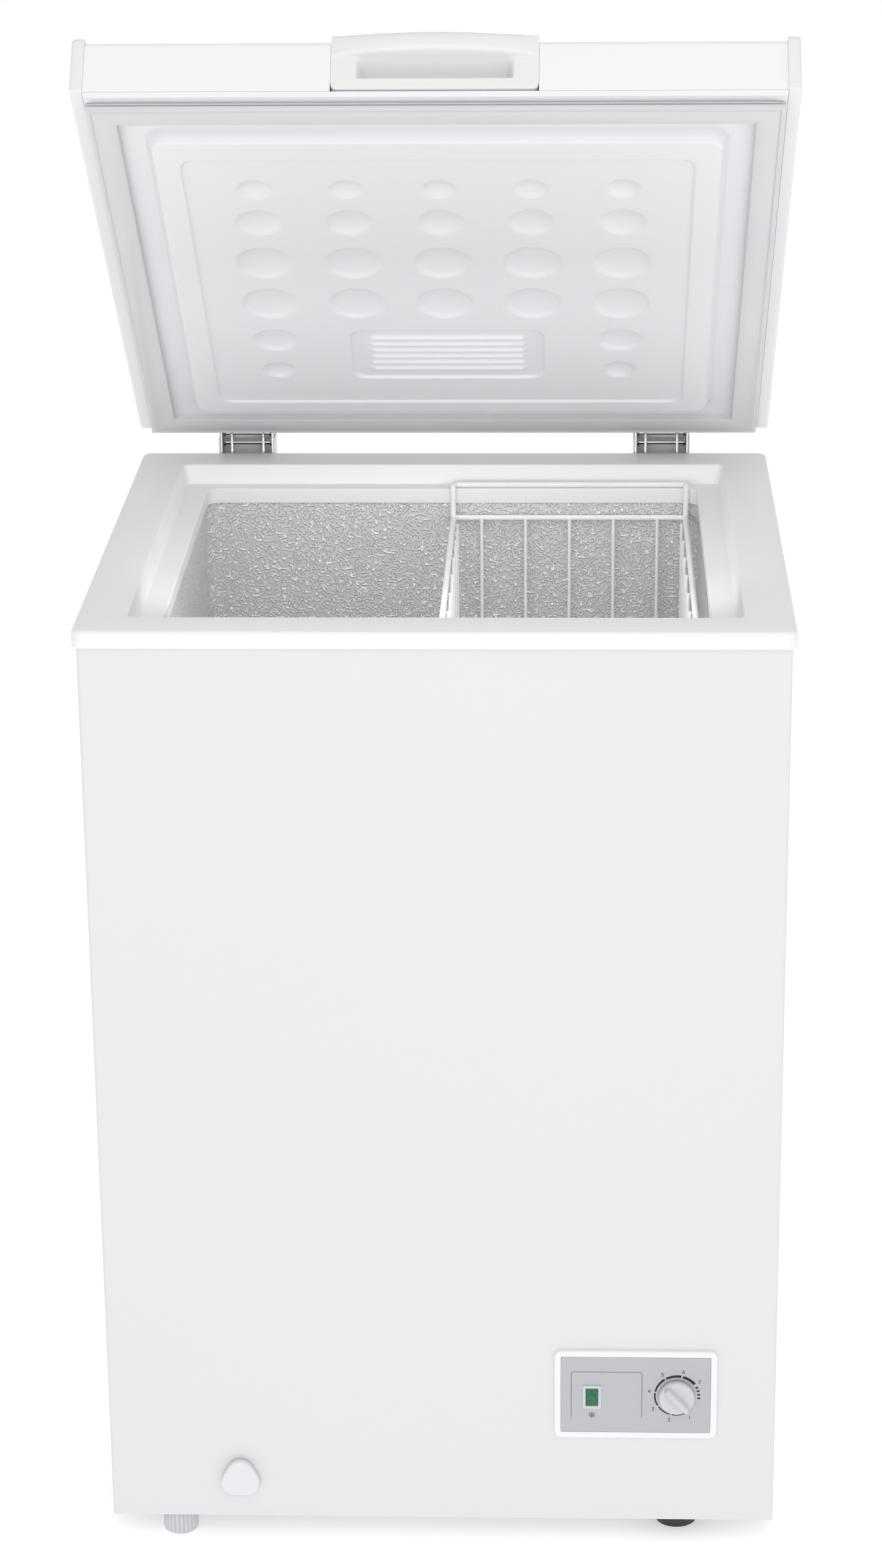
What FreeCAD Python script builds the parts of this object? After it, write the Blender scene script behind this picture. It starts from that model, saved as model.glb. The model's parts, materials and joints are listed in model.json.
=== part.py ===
import FreeCAD, Part

# Chest freezer with its lid propped open.
# X runs to the right, Y to the back and Z up, in millimetres, and the floor is Z = 0.
# Sizes are written about the middle of the cabinet. write() then moves every piece forward or
# back, so that the origin is under the middle of the overall depth, from the knob to the hinges.

import math
import os

Vector = FreeCAD.Vector
os.makedirs("parts", exist_ok=True)

# ---- Driving dimensions ----

# Cabinet
body_width = 545.0
body_depth = 519.0
base_height = 22.0
sheet = 1.0
shell_corner = 3.0
fit = 0.2                      # gap between two fixed pieces that slip together

# Top frame round the opening
rim_top = 790.0
rim_band = 14.0
rim_overhang = 3.5
rim_corner = 8.0
rim_wall = 3.0
rim_edge_radius = 3.0
rim_side = 36.0                # flat top, measured in from the cabinet's side
rim_front = 34.5
rim_back = 37.5
rim_slope = 3.5                # how far the throat narrows on its way down
ledge_drop = 17.0
ledge_thickness = 3.0
skirt_depth = 13.0
skirt_wall = 1.8

# Tank
tank_wall = 56.5               # outside of the cabinet to inside of the tank, at the sides
tank_wall_front = 53.5
tank_wall_back = 53.5
tank_floor = 80.0
tank_corner = 14.0
step_width = 150.0
step_height = 210.0

# Machine compartment under the step
step_foam_side = 36.0          # foam between the tank's step and the compartment
step_foam_top = 44.0
panel_vent_margin = 6.0

# Lid, measured closed
lid_gap = 8.0                  # rim to the lid's underside, filled by the gasket
lid_height = 49.0
lid_front_overhang = 4.5
lid_back_overhang = 1.0
lid_corner = 7.0
cap_width = 9.6
cap_proud = 2.5
liner_flange = 2.0
liner_wall = 3.0
plateau_rise = 12.0
plateau_slope = 6.0            # how far its sides lean in
plateau_clear_side = 17.5      # plateau's face to throat
plateau_clear_front = 11.0
plateau_clear_back = 14.5
field_margin_side = 20.0
field_margin_front = 24.0
field_margin_back = 17.0
field_depth = 1.0
dimple_pitch = 0.182           # between columns, as a share of the field's width
dimple_rows = ((0.116, 12.5), (0.244, 17.5), (0.405, 22.5), (0.573, 22.5))
dimple_side_rows = ((0.730, 17.5), (0.861, 12.5))
dimple_depth = 1.4
louvre_middle = 0.794          # along the field, from its front
louvre_width = 162.0
louvre_length = 79.0
louvre_depth = 2.0
slat_width = 130.0
slat_pitch = 10.0
slats = 6
gasket_width = 22.0
gasket_outer_side = 11.5       # in from the lid's outer side
gasket_outer_front = 9.6
gasket_outer_back = 6.5
gasket_clear = 0.4             # gasket to rim with the lid shut

# Handle moulding in the lid's front
handle_width = 158.0
handle_bow = 12.0
handle_depth = 22.0
pocket_width = 118.0
pocket_height = 19.0
pocket_depth = 18.0
pocket_corner = 6.0
handle_lip = 18.5              # solid bowed lip above the pocket

# Lid hinges
hinge_from_side = 88.5         # hinge's middle to the cabinet's side
hinge_width = 50.0
hinge_back = 17.0              # pivot behind the cabinet's back
hinge_rise = 27.3              # pivot above the rim
lid_open_angle = 43.3          # the stored pose
pin_radius = 3.0
pin_clear = 0.05
ear_radius = 10.5
ear_thickness = 2.0
cover_thickness = 1.2
cover_gap = 0.3
cam_at_rest = 10.3             # cam radius that faces the slider's rod in the stored pose
cam_rate = 4.0                 # cam radius lost for each radian of opening
rod_radius = 2.15
rod_gap = 0.3
rod_spacing = 8.6
slider_half = 14.0
spring_radius = 9.0
spring_wire = 2.2
hinge_foot = 100.0             # spring seat below the rim

# Control panel
bezel_width = 132.5
bezel_height = 79.5
bezel_from_wall = 1.5          # panel's window to the compartment's inner wall
bezel_z = 138.75
bezel_frame = 5.5
bezel_corner = 6.0
bezel_proud = 3.0
lamp_left = 35.55              # lamp's middle from the panel's middle
lamp_drop = 2.15
lamp_width = 15.1
lamp_height = 21.0
lens_width = 9.9
lens_height = 15.5
knob_right = 33.25             # knob's middle from the panel's middle
knob_drop = 0.75
knob_radius = 14.5
knob_height = 11.0
knob_pointer = 317.0           # grip's heading in the stored pose, clockwise from the top
spindle_radius = 3.0

# Drain
drain_from_side = 106.8
drain_from_front = 109.5       # hole in the tank's floor to the cabinet's front
drain_z = 59.0
spout_radius = 7.0
spout_bore = 4.5
spout_length = 56.0
spout_clear = 0.08
sleeve_radius = 10.0
sleeve_length = 66.0
drain_knob_size = 17.5
drain_knob_depth = 5.5
hose_bend = 14.0
plug_radius = 9.0

# Feet
foot_from_side = 54.0
foot_from_front = 18.5
foot_from_back = 34.5
foot_radius = 14.5
stud_radius = 4.0
stud_clear = 0.08
fixed_foot_from_side = 78.5
fixed_foot_from_front = 41.5
fixed_foot_top = 23.0
fixed_foot_bottom = 17.0

# Basket
basket_right = 9.4             # basket's outer side to the tank's right wall
basket_width = 208.0
basket_end_gap = 1.5           # frame to skirt, front and back
basket_drop = 42.0             # top frame to the basket's ring
basket_depth = 188.0
frame_wire = 2.5
thin_wire = 1.5
long_wires = 5
cross_wires = 8
basket_corner = 6.0
bar_lift = 0.1                 # air under the hanging bars

# Refrigeration
pipe_radius = 3.0
coil_radius = 3.5
condenser_radius = 2.4
capillary_radius = 1.0
compressor_radius = 62.0
compressor_height = 132.0
compressor_from_back = 164.5
evaporator_turns = 5           # round the upper tank; two more pass under the step
evaporator_first = 50.0        # lowest upper turn above the step
evaporator_last = 96.0         # highest turn below the top frame
condenser_runs = 6
condenser_first = 20.0         # lowest run above the compartment
condenser_last = 110.0         # highest run below the top frame
grommet_height = 13.0
plate_thickness = 2.0

# ---- Sizes that follow ----

half_w = body_width / 2
half_d = body_depth / 2
rim_half_w = half_w + rim_overhang
rim_half_d = half_d + rim_overhang
throat_w = half_w - rim_side
throat_front = -(half_d - rim_front)
throat_back = half_d - rim_back
ledge_z = rim_top - ledge_drop
tank_w = half_w - tank_wall
tank_front = -(half_d - tank_wall_front)
tank_back = half_d - tank_wall_back
step_x = tank_w - step_width
step_z = tank_floor + step_height
skirt_w = tank_w - skirt_wall - fit
skirt_corner = tank_corner - skirt_wall - fit
skirt_front = tank_front + skirt_wall + fit
skirt_back = tank_back - skirt_wall - fit
machine_x = step_x + step_foam_side
machine_top = step_z - step_foam_top
floor_sheet = base_height + sheet
under_rim = rim_top - rim_band

lid_z = rim_top + lid_gap
lid_top = lid_z + lid_height
lid_front = -(half_d + lid_front_overhang)
lid_back = half_d + lid_back_overhang
lid_half = rim_half_w + 1.0
skin_half = lid_half - cap_width
liner_z = lid_z + liner_flange
face_z = lid_z - plateau_rise

throat = (-throat_w, throat_w, throat_front, throat_back)
face_rect = (-throat_w + plateau_clear_side, throat_w - plateau_clear_side,
             throat_front + plateau_clear_front, throat_back - plateau_clear_back)
field_rect = (face_rect[0] + field_margin_side, face_rect[1] - field_margin_side,
              face_rect[2] + field_margin_front, face_rect[3] - field_margin_back)
field_length = field_rect[3] - field_rect[2]

pivot = Vector(0, half_d + hinge_back, rim_top + hinge_rise)
hinge_sides = (hinge_from_side - half_w, half_w - hinge_from_side)
hinge_half = hinge_width / 2
channel_half = hinge_half - cover_thickness - ear_thickness
cam_half = channel_half - 2.2
rod_z = pivot.z - cam_at_rest - rod_gap - rod_radius
seat_z = rim_top - hinge_foot
hinge_rear = pivot.y + ear_radius + cover_gap + cover_thickness

bezel_x = machine_x + bezel_from_wall + bezel_width / 2 - 2 * bezel_frame
lamp_x = bezel_x - lamp_left
lamp_z = bezel_z - lamp_drop
knob_x = bezel_x + knob_right
knob_z = bezel_z - knob_drop
panel_front = -half_d - bezel_proud
knob_back = panel_front - 0.4
knob_front = knob_back - knob_height
origin_y = (hinge_rear + knob_front) / 2

drain_x = drain_from_side - half_w
drain_y = drain_from_front - half_d
foot_x = half_w - foot_from_side
foot_front = half_d - foot_from_front
foot_back = half_d - foot_from_back
fixed_foot_x = half_w - fixed_foot_from_side
fixed_foot_front = half_d - fixed_foot_from_front
basket_top = rim_top - basket_drop
compressor_y = half_d - compressor_from_back


# ---- Shapes ----

def box(x0, x1, y0, y1, z0, z1):
    return Part.makeBox(x1 - x0, y1 - y0, z1 - z0, Vector(x0, y0, z0))


def rounded_wire(x0, x1, y0, y1, z, radius):
    """A level rectangle with round corners."""
    edges = []
    corners = ((x1, y1, 0), (x0, y1, 90), (x0, y0, 180), (x1, y0, 270))
    points = []
    for x, y, heading in corners:
        centre = Vector(x - math.copysign(radius, x - (x0 + x1) / 2),
                        y - math.copysign(radius, y - (y0 + y1) / 2), z)
        arc = [centre + Vector(radius * math.cos(math.radians(heading + turn)),
                               radius * math.sin(math.radians(heading + turn)), 0)
               for turn in (0, 45, 90)]
        points.append(arc)
    for arc, following in zip(points, points[1:] + points[:1]):
        edges.append(Part.Arc(*arc).toShape())
        edges.append(Part.LineSegment(arc[2], following[0]).toShape())
    return Part.Wire(edges)


def slab(x0, x1, y0, y1, z0, z1, radius):
    """An upright block whose vertical edges are round."""
    return Part.Face(rounded_wire(x0, x1, y0, y1, z0, radius)).extrude(Vector(0, 0, z1 - z0))


def tapered(low, z_low, high, z_high, radius):
    """A block between two level rectangles, each given as (x0, x1, y0, y1)."""
    wires = [rounded_wire(*low, z_low, radius), rounded_wire(*high, z_high, radius)]
    return Part.makeLoft(wires, True, True)


def grow(rect, by):
    return (rect[0] - by, rect[1] + by, rect[2] - by, rect[3] + by)


def spread(first, last, count):
    """Evenly spaced values from the first to the last."""
    return [first + (last - first) * i / (count - 1) for i in range(count)]


def face_plate(x, z, width, height, y_front, y_back, radius):
    """A plate that stands in the front, with round corners seen from the front."""
    flat = slab(x - width / 2, x + width / 2, z - height / 2, z + height / 2, 0, y_back - y_front, radius)
    flat.rotate(Vector(0, 0, 0), Vector(1, 0, 0), 90)
    flat.translate(Vector(0, y_back, 0))
    return flat


def side_profile(points, x0, x1):
    """A (y, z) outline carried along X."""
    corners = [Vector(x0, y, z) for y, z in points]
    return Part.Face(Part.makePolygon(corners + corners[:1])).extrude(Vector(x1 - x0, 0, 0))


def rod(start, end, radius):
    run = end - start
    return Part.makeCylinder(radius, run.Length, start, run)


def hex_rod(start, end, across):
    """A hexagonal bar along X."""
    corners = [Vector(start.x, start.y + across / math.sqrt(3) * math.cos(math.radians(60 * i)),
                      start.z + across / math.sqrt(3) * math.sin(math.radians(60 * i))) for i in range(7)]
    return Part.Face(Part.makePolygon(corners)).extrude(end - start)


def tube(points, radius, bend):
    """A round wire or pipe along straight runs joined by arcs."""
    edges = []
    start = points[0]
    for before, corner, after in zip(points, points[1:], points[2:]):
        back = (before - corner).normalize()
        ahead = (after - corner).normalize()
        half_turn = back.getAngle(ahead) / 2
        inward = (back + ahead).normalize()
        centre = corner + inward * (bend / math.sin(half_turn))
        leave = corner + back * (bend / math.tan(half_turn))
        rejoin = corner + ahead * (bend / math.tan(half_turn))
        if (leave - start).Length > 0.01:
            edges.append(Part.LineSegment(start, leave).toShape())
        edges.append(Part.Arc(leave, centre - inward * bend, rejoin).toShape())
        start = rejoin
    edges.append(Part.LineSegment(start, points[-1]).toShape())
    section = Part.Wire(Part.makeCircle(radius, points[0], points[1] - points[0]))
    return Part.Wire(edges).makePipeShell([section], True, False)


def turned(outline, axis_point, direction=Vector(0, 0, 1)):
    """A solid of revolution from (radius, height) points, stood on axis_point."""
    corners = [Vector(r, 0, h) for r, h in outline]
    solid = Part.Face(Part.makePolygon(corners + corners[:1])).revolve(Vector(0, 0, 0), Vector(0, 0, 1), 360)
    solid.Placement = FreeCAD.Placement(axis_point, FreeCAD.Rotation(Vector(0, 0, 1), direction))
    return solid


def all_of(shapes):
    shapes = list(shapes)
    return shapes[0].multiFuse(shapes[1:]).removeSplitter() if len(shapes) > 1 else shapes[0]


def group(shapes):
    """Like pieces that don't touch, kept as separate solids."""
    return Part.makeCompound(list(shapes))


def both_hinges(make):
    return group(make(x) for x in hinge_sides)


def opened(shape):
    """Swing a piece of the closed lid up to its stored angle."""
    copy = shape.copy()
    copy.rotate(pivot, Vector(1, 0, 0), -lid_open_angle)
    return copy


def write(name, shape):
    copy = shape.copy()
    copy.translate(Vector(0, -origin_y, 0))
    copy.exportStep("parts/" + name + ".step")


# ---- Cabinet shell ----

def outer_shell():
    shell = slab(-half_w, half_w, -half_d, half_d + shell_corner, base_height, rim_top - rim_wall - fit,
                 shell_corner)
    room = slab(-half_w + sheet, half_w - sheet, -half_d + sheet, half_d + shell_corner + 1,
                base_height - 1, rim_top, shell_corner - sheet)
    shell = shell.cut(room).cut(box(-half_w, half_w, half_d, half_d + 10, 0, rim_top))
    window = face_plate(bezel_x, bezel_z, bezel_width - 4 * bezel_frame, bezel_height - 4 * bezel_frame,
                        -half_d - 1, -half_d + 2 * sheet, bezel_corner / 2)
    spout_hole = rod(Vector(drain_x, -half_d - 1, drain_z), Vector(drain_x, -half_d + 5, drain_z),
                     sleeve_radius + fit)
    return shell.cut(window).cut(spout_hole)


def back_panel():
    sheet_metal = box(-half_w + sheet + fit, half_w - sheet - fit, half_d - sheet, half_d,
                      base_height, rim_top - rim_wall - fit)
    opening = box(machine_x, half_w, half_d - 5, half_d + 5, base_height - 1, machine_top)
    return sheet_metal.cut(opening)


def base_pan():
    pan = slab(-half_w + sheet + fit, machine_x - sheet, -half_d + sheet + fit, half_d - sheet - fit,
               base_height, floor_sheet, shell_corner)
    for y in (-foot_front, foot_back):
        pan = pan.cut(rod(Vector(-foot_x, y, 0), Vector(-foot_x, y, 60), stud_radius + stud_clear))
    return pan


def compartment_panel():
    upright = box(machine_x - sheet, machine_x, -half_d + sheet + fit, half_d - sheet - fit,
                  base_height, machine_top + sheet)
    ceiling = box(machine_x, half_w - sheet - fit, -half_d + sheet + fit, half_d - sheet - fit,
                  machine_top, machine_top + sheet)
    return upright.fuse(ceiling)


def compressor_base_plate():
    return slab(machine_x + fit, half_w - sheet - fit, -half_d + sheet + fit, half_d - sheet - fit,
                base_height, base_height + plate_thickness, shell_corner)


def top_frame():
    outer = slab(-rim_half_w, rim_half_w, -rim_half_d, rim_half_d, under_rim, rim_top, rim_corner)
    top_edges = [edge for edge in outer.Edges if abs(edge.BoundBox.ZMin - rim_top) < 0.01]
    outer = outer.makeFillet(rim_edge_radius, top_edges)
    inner = slab(*grow(throat, rim_wall), ledge_z - ledge_thickness, rim_top - rim_wall, rim_corner)
    hollow = slab(-rim_half_w + rim_wall, rim_half_w - rim_wall, -rim_half_d + rim_wall,
                  rim_half_d - rim_wall, under_rim - 1, rim_top - rim_wall, rim_wall / 3)
    skirt = (-skirt_w, skirt_w, skirt_front, skirt_back)
    skirt_block = slab(*grow(skirt, skirt_wall), ledge_z - skirt_depth, ledge_z - 1,
                       skirt_corner + skirt_wall)
    frame = outer.cut(hollow).fuse(inner).fuse(skirt_block)
    frame = frame.cut(tapered(grow(throat, -rim_slope), ledge_z, throat, rim_top, rim_corner - 2))
    return frame.cut(slab(*skirt, ledge_z - skirt_depth - 1, rim_top + 1, skirt_corner))


# ---- Tank, foam and the coils in it ----

def tank_block(extra, top):
    """The tank's volume, grown on its walls and floor by the given thickness."""
    rect = grow((-tank_w, tank_w, tank_front, tank_back), extra)
    block = slab(*rect, tank_floor - extra, top, tank_corner + extra)
    return block.cut(box(step_x + extra, tank_w + 99, -half_d, half_d, 0, step_z - extra))


def inner_tank():
    top = ledge_z - ledge_thickness - fit
    tank = tank_block(sheet, top).cut(tank_block(0, top + 1))
    return tank.cut(rod(Vector(drain_x, drain_y, 0), Vector(drain_x, drain_y, tank_floor + 1), plug_radius - 2))


def drain_path():
    back = Vector(drain_x, -half_d + sleeve_length, drain_z)
    corner = Vector(drain_x, drain_y, drain_z)
    return [back, corner, Vector(drain_x, drain_y, tank_floor - sheet)]


def foot_bush(y):
    centre = Vector(-foot_x, y, floor_sheet)
    block = rod(centre, centre + Vector(0, 0, 18), stud_radius + 5)
    return block.cut(rod(centre, centre + Vector(0, 0, 18), stud_radius + stud_clear))


def tank_foam():
    foam = slab(-half_w + sheet, half_w - sheet, -half_d + sheet, half_d - sheet, floor_sheet, under_rim,
                shell_corner)
    foam = foam.cut(tank_block(sheet, rim_top))
    foam = foam.cut(slab(*grow(throat, rim_wall), ledge_z - ledge_thickness, rim_top, rim_corner))
    foam = foam.cut(box(machine_x - sheet, half_w, -half_d, half_d, 0, machine_top + sheet))
    foam = foam.cut(rod(Vector(drain_x, -half_d, drain_z), Vector(drain_x, -half_d + sleeve_length, drain_z),
                        sleeve_radius))
    foam = foam.cut(tube(drain_path(), spout_radius, hose_bend))
    for y in (-foot_front, foot_back):
        centre = Vector(-foot_x, y, floor_sheet)
        foam = foam.cut(rod(centre, centre + Vector(0, 0, 24), stud_radius + 5))
    return foam


def loops(rect, heights):
    """Corner points of a pipe that climbs round a rectangle, one turn for each height."""
    points = []
    for z in heights:
        points += [Vector(rect[0], rect[2], z), Vector(rect[0], rect[3], z),
                   Vector(rect[1], rect[3], z), Vector(rect[1], rect[2], z)]
    return points


def evaporator_coil():
    off = coil_radius + sheet + 0.3
    low = grow((-tank_w, step_x + step_foam_side / 2, tank_front, tank_back), off)
    high = grow((-tank_w, tank_w, tank_front, tank_back), off)
    lower = [step_z - off - coil_radius - 60 * i for i in (2, 1)]
    upper = spread(step_z + evaporator_first, under_rim - evaporator_last, evaporator_turns)
    points = loops(low, lower) + loops(high, upper)
    return tube(points, coil_radius, tank_corner + off)


def condenser_coil():
    x = half_w - sheet - condenser_radius - 0.3
    y = half_d - sheet - condenser_radius - 0.3
    points = []
    heights = spread(machine_top + condenser_first, under_rim - condenser_last, condenser_runs)
    for level, z in enumerate(heights):
        turn = [Vector(machine_x - 20, -y, z), Vector(-x, -y, z), Vector(-x, y, z), Vector(machine_x - 20, y, z)]
        points += turn if level % 2 == 0 else turn[::-1]
    return tube(points, condenser_radius, 16)


# ---- Machine compartment ----

machine_mid = (machine_x + half_w - sheet) / 2
compressor_foot = base_height + plate_thickness + grommet_height
compressor_axis = Vector(machine_mid, compressor_y, compressor_foot + 4)


def compressor_shell():
    radius = compressor_radius
    top = compressor_height
    outline = [(0, 0), (radius * 0.62, 0), (radius * 0.86, 6), (radius * 0.97, 20), (radius * 0.97, top * 0.52),
               (radius, top * 0.53), (radius, top * 0.56), (radius * 0.97, top * 0.57),
               (radius * 0.97, top - 30), (radius * 0.88, top - 14), (radius * 0.6, top - 3), (0, top)]
    return turned(outline, compressor_axis)


def mount_points():
    return [Vector(machine_mid + x, compressor_y + y, 0) for x in (-58, 58) for y in (-70, 70)]


def compressor_cradle():
    z = compressor_foot
    plate = slab(machine_mid - 68, machine_mid + 68, compressor_y - 80, compressor_y + 80, z, z + 3.9, 10)
    for point in mount_points():
        plate = plate.cut(rod(point, point + Vector(0, 0, 99), 5.2))
    return plate


def compressor_grommets():
    z = base_height + plate_thickness
    outline = [(3.2, 0), (10, 0), (10, grommet_height), (5, grommet_height), (5, grommet_height + 5),
               (8, grommet_height + 5), (8, grommet_height + 8), (3.2, grommet_height + 8)]
    return group(turned(outline, point + Vector(0, 0, z)) for point in mount_points())


def compressor_bolts():
    z = base_height + plate_thickness
    outline = [(0, 0), (3, 0), (3, grommet_height + 8.1), (6, grommet_height + 8.1),
               (6, grommet_height + 12), (0, grommet_height + 12)]
    return group(turned(outline, point + Vector(0, 0, z)) for point in mount_points())


def relay_cover():
    x = compressor_axis.x
    y = compressor_y - compressor_radius + 3
    z = compressor_axis.z + 34
    block = slab(x - 24, x + 24, y - 34, y + 10, z, z + 58, 6)
    return block.cut(rod(compressor_axis, compressor_axis + Vector(0, 0, 200), compressor_radius + 0.5))


def pipe_from_compressor(heading, rise, end):
    """A pipe that leaves the compressor's side, climbs and runs to the compartment's wall."""
    out = Vector(math.cos(math.radians(heading)), math.sin(math.radians(heading)), 0)
    z = compressor_axis.z + 40
    foot = Vector(compressor_axis.x, compressor_axis.y, z) + out * (compressor_radius * 0.97)
    knee = foot + out * 14
    top = Vector(knee.x, knee.y, rise)
    return tube([foot, knee, top, Vector(end.x, top.y, rise), end], pipe_radius, 9)


def compressor_pipes():
    """The suction pipe, the discharge pipe and the short pinched-off filling pipe."""
    suction_z = machine_top - 18
    suction = pipe_from_compressor(200, suction_z, Vector(machine_x + 14, compressor_y - 155, suction_z))
    discharge_z = machine_top - 34
    discharge = pipe_from_compressor(160, discharge_z, Vector(machine_x + 14, half_d - 40, discharge_z))
    out = Vector(math.cos(math.radians(60)), math.sin(math.radians(60)), 0)
    foot = Vector(compressor_axis.x, compressor_axis.y, compressor_axis.z + 40) + out * (compressor_radius * 0.97)
    filling = tube([foot, foot + out * 14, foot + out * 14 + Vector(0, 0, 60)], pipe_radius, 9)
    return group([suction, discharge, filling])


drier_base = Vector(machine_x + 18, compressor_y - 235, machine_top - 120)


def filter_drier():
    outline = [(0, 0), (2.6, 0), (2.6, 8), (8.5, 20), (8.5, 84), (2.6, 96), (2.6, 104), (0, 104)]
    return turned(outline, drier_base)


def capillary_tube():
    """A thin tube that leaves the drier, winds once and climbs to the compartment's ceiling."""
    start = drier_base
    points = [start, start - Vector(0, 0, 22), start + Vector(34, 0, -22), start + Vector(34, 40, -22),
              start + Vector(8, 40, -16), start + Vector(8, 40, 118)]
    return tube(points, capillary_radius, 7)


# ---- Back of the compartment ----

cover_x0 = machine_x - panel_vent_margin
cover_x1 = half_w - sheet - fit
cover_z1 = machine_top + panel_vent_margin
gland_x = cover_x0 + 30
gland_z = base_height + 32


def cover_screw_points():
    xs = (cover_x0 + 3.5, cover_x1 - 4.5)
    zs = (base_height + 12, (base_height + cover_z1) / 2, cover_z1 - 12)
    return [Vector(x, half_d, z) for x in xs for z in zs]


def rear_cover():
    cover = box(cover_x0, cover_x1, half_d, half_d + 1.5, base_height + 1, cover_z1)
    slot_x = (cover_x0 + cover_x1) / 2
    for z in spread(base_height + 58, cover_z1 - 20, 11):
        for x in (slot_x - 33, slot_x + 33):
            cover = cover.cut(face_plate(x, z, 54, 5, half_d - 1, half_d + 4, 2.4))
    return cover.cut(rod(Vector(gland_x, half_d - 1, gland_z), Vector(gland_x, half_d + 4, gland_z), 8.2))


def rear_cover_screws():
    outline = [(0, -10), (1.7, -10), (1.7, 1.6), (3.6, 1.6), (3.6, 2.4), (2.4, 3.6), (0, 3.9)]
    return group(turned(outline, point, Vector(0, 1, 0)) for point in cover_screw_points())


def inlet_gland():
    outline = [(4, -9), (9.5, -9), (9.5, -0.2), (8, -0.2), (8, 1.7), (11, 1.7), (11, 4), (7, 6), (4, 6)]
    return turned(outline, Vector(gland_x, half_d, gland_z), Vector(0, 1, 0))


# ---- Control panel ----

def control_bezel():
    bezel = face_plate(bezel_x, bezel_z, bezel_width, bezel_height, panel_front, -half_d, bezel_corner)
    window = face_plate(bezel_x, bezel_z, bezel_width - 2 * bezel_frame, bezel_height - 2 * bezel_frame,
                        panel_front - 1, -half_d + 1, bezel_corner / 3)
    collar = face_plate(bezel_x, bezel_z, bezel_width - 4 * bezel_frame - 1, bezel_height - 4 * bezel_frame - 1,
                        -half_d - 0.5, -half_d + 16, bezel_corner / 2)
    inside = face_plate(bezel_x, bezel_z, bezel_width - 4 * bezel_frame - 5, bezel_height - 4 * bezel_frame - 5,
                        -half_d - 9, -half_d + 20, bezel_corner / 3)
    seat = face_plate(bezel_x, bezel_z, bezel_width - 2 * bezel_frame, bezel_height - 2 * bezel_frame,
                      -half_d - 1.0, -half_d - 0.0, bezel_corner / 3)
    return all_of([bezel.cut(window), seat, collar.fuse(seat)]).cut(inside)


def control_fascia():
    plate = face_plate(bezel_x, bezel_z, bezel_width - 2 * bezel_frame - fit, bezel_height - 2 * bezel_frame - fit,
                       panel_front + 0.6, -half_d - 1.0, bezel_corner / 3)
    plate = plate.cut(face_plate(lamp_x, lamp_z, lamp_width - 3, lamp_height - 3, panel_front - 9, 0, 0.8))
    return plate.cut(rod(Vector(knob_x, -half_d - 9, knob_z), Vector(knob_x, 0, knob_z), spindle_radius + 1.2))


def lamp_surround():
    front = face_plate(lamp_x, lamp_z, lamp_width, lamp_height, panel_front - 0.6, panel_front + 0.6, 1.2)
    neck = face_plate(lamp_x, lamp_z, lamp_width - 3.4, lamp_height - 3.4, panel_front + 0.5, -half_d + 8, 0.8)
    hole = face_plate(lamp_x, lamp_z, lens_width + fit, lens_height + fit, panel_front - 3, -half_d + 9, 0.6)
    return front.fuse(neck).cut(hole)


def lamp_lens():
    return face_plate(lamp_x, lamp_z, lens_width, lens_height, panel_front - 0.2, -half_d + 6, 0.5)


def lamp_body():
    return face_plate(lamp_x, lamp_z, lamp_width - 3.4, lamp_height - 3.4, -half_d + 8.2, -half_d + 30, 0.8)


def thermostat_body():
    block = face_plate(knob_x, knob_z, 34, 46, -half_d + 2, -half_d + 34, 3)
    bush = rod(Vector(knob_x, -half_d - 0.2, knob_z), Vector(knob_x, -half_d + 2.5, knob_z), spindle_radius + 0.9)
    bore = rod(Vector(knob_x, -half_d - 9, knob_z), Vector(knob_x, -half_d + 12.5, knob_z), spindle_radius + 0.06)
    return block.fuse(bush).cut(bore)


def thermostat_spindle():
    return rod(Vector(knob_x, knob_back - 6, knob_z), Vector(knob_x, -half_d + 12, knob_z), spindle_radius)


def thermostat_knob():
    skirt = rod(Vector(knob_x, knob_back - 5, knob_z), Vector(knob_x, knob_back, knob_z), knob_radius)
    grip = face_plate(knob_x, knob_z, 7, 2 * knob_radius - 2.4, knob_front, knob_back - 4, 3)
    grip.rotate(Vector(knob_x, 0, knob_z), Vector(0, 1, 0), knob_pointer)
    socket = rod(Vector(knob_x, knob_back - 6, knob_z), Vector(knob_x, knob_back + 1, knob_z), spindle_radius)
    return skirt.fuse(grip).cut(socket)


def thermostat_probe():
    """The sensing tube from the thermostat up into the foam beside the tank."""
    start = Vector(knob_x, -half_d + 34, knob_z + 12)
    points = [start, start + Vector(0, 22, 0), Vector(knob_x, start.y + 22, machine_top - 10),
              Vector(machine_x + 12, start.y + 22, machine_top - 10)]
    return tube(points, capillary_radius, 6)


# ---- Drain ----

def drain_sleeve():
    bore = spout_radius + spout_clear
    outline = [(bore, 0), (sleeve_radius + 3, 0), (sleeve_radius + 3, 1.4), (sleeve_radius, 1.4),
               (sleeve_radius, 1.5 + sleeve_length), (bore, 1.5 + sleeve_length)]
    return turned(outline, Vector(drain_x, -half_d - 1.5, drain_z), Vector(0, 1, 0))


def drain_hose():
    return tube(drain_path(), spout_radius - 0.2, hose_bend).cut(tube(drain_path(), spout_bore, hose_bend))


def drain_spout():
    front = Vector(drain_x, -half_d - 1.9, drain_z)
    back = front + Vector(0, spout_length, 0)
    return rod(front, back, spout_radius).cut(rod(front - Vector(0, 1, 0), back + Vector(0, 1, 0), spout_bore))


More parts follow.
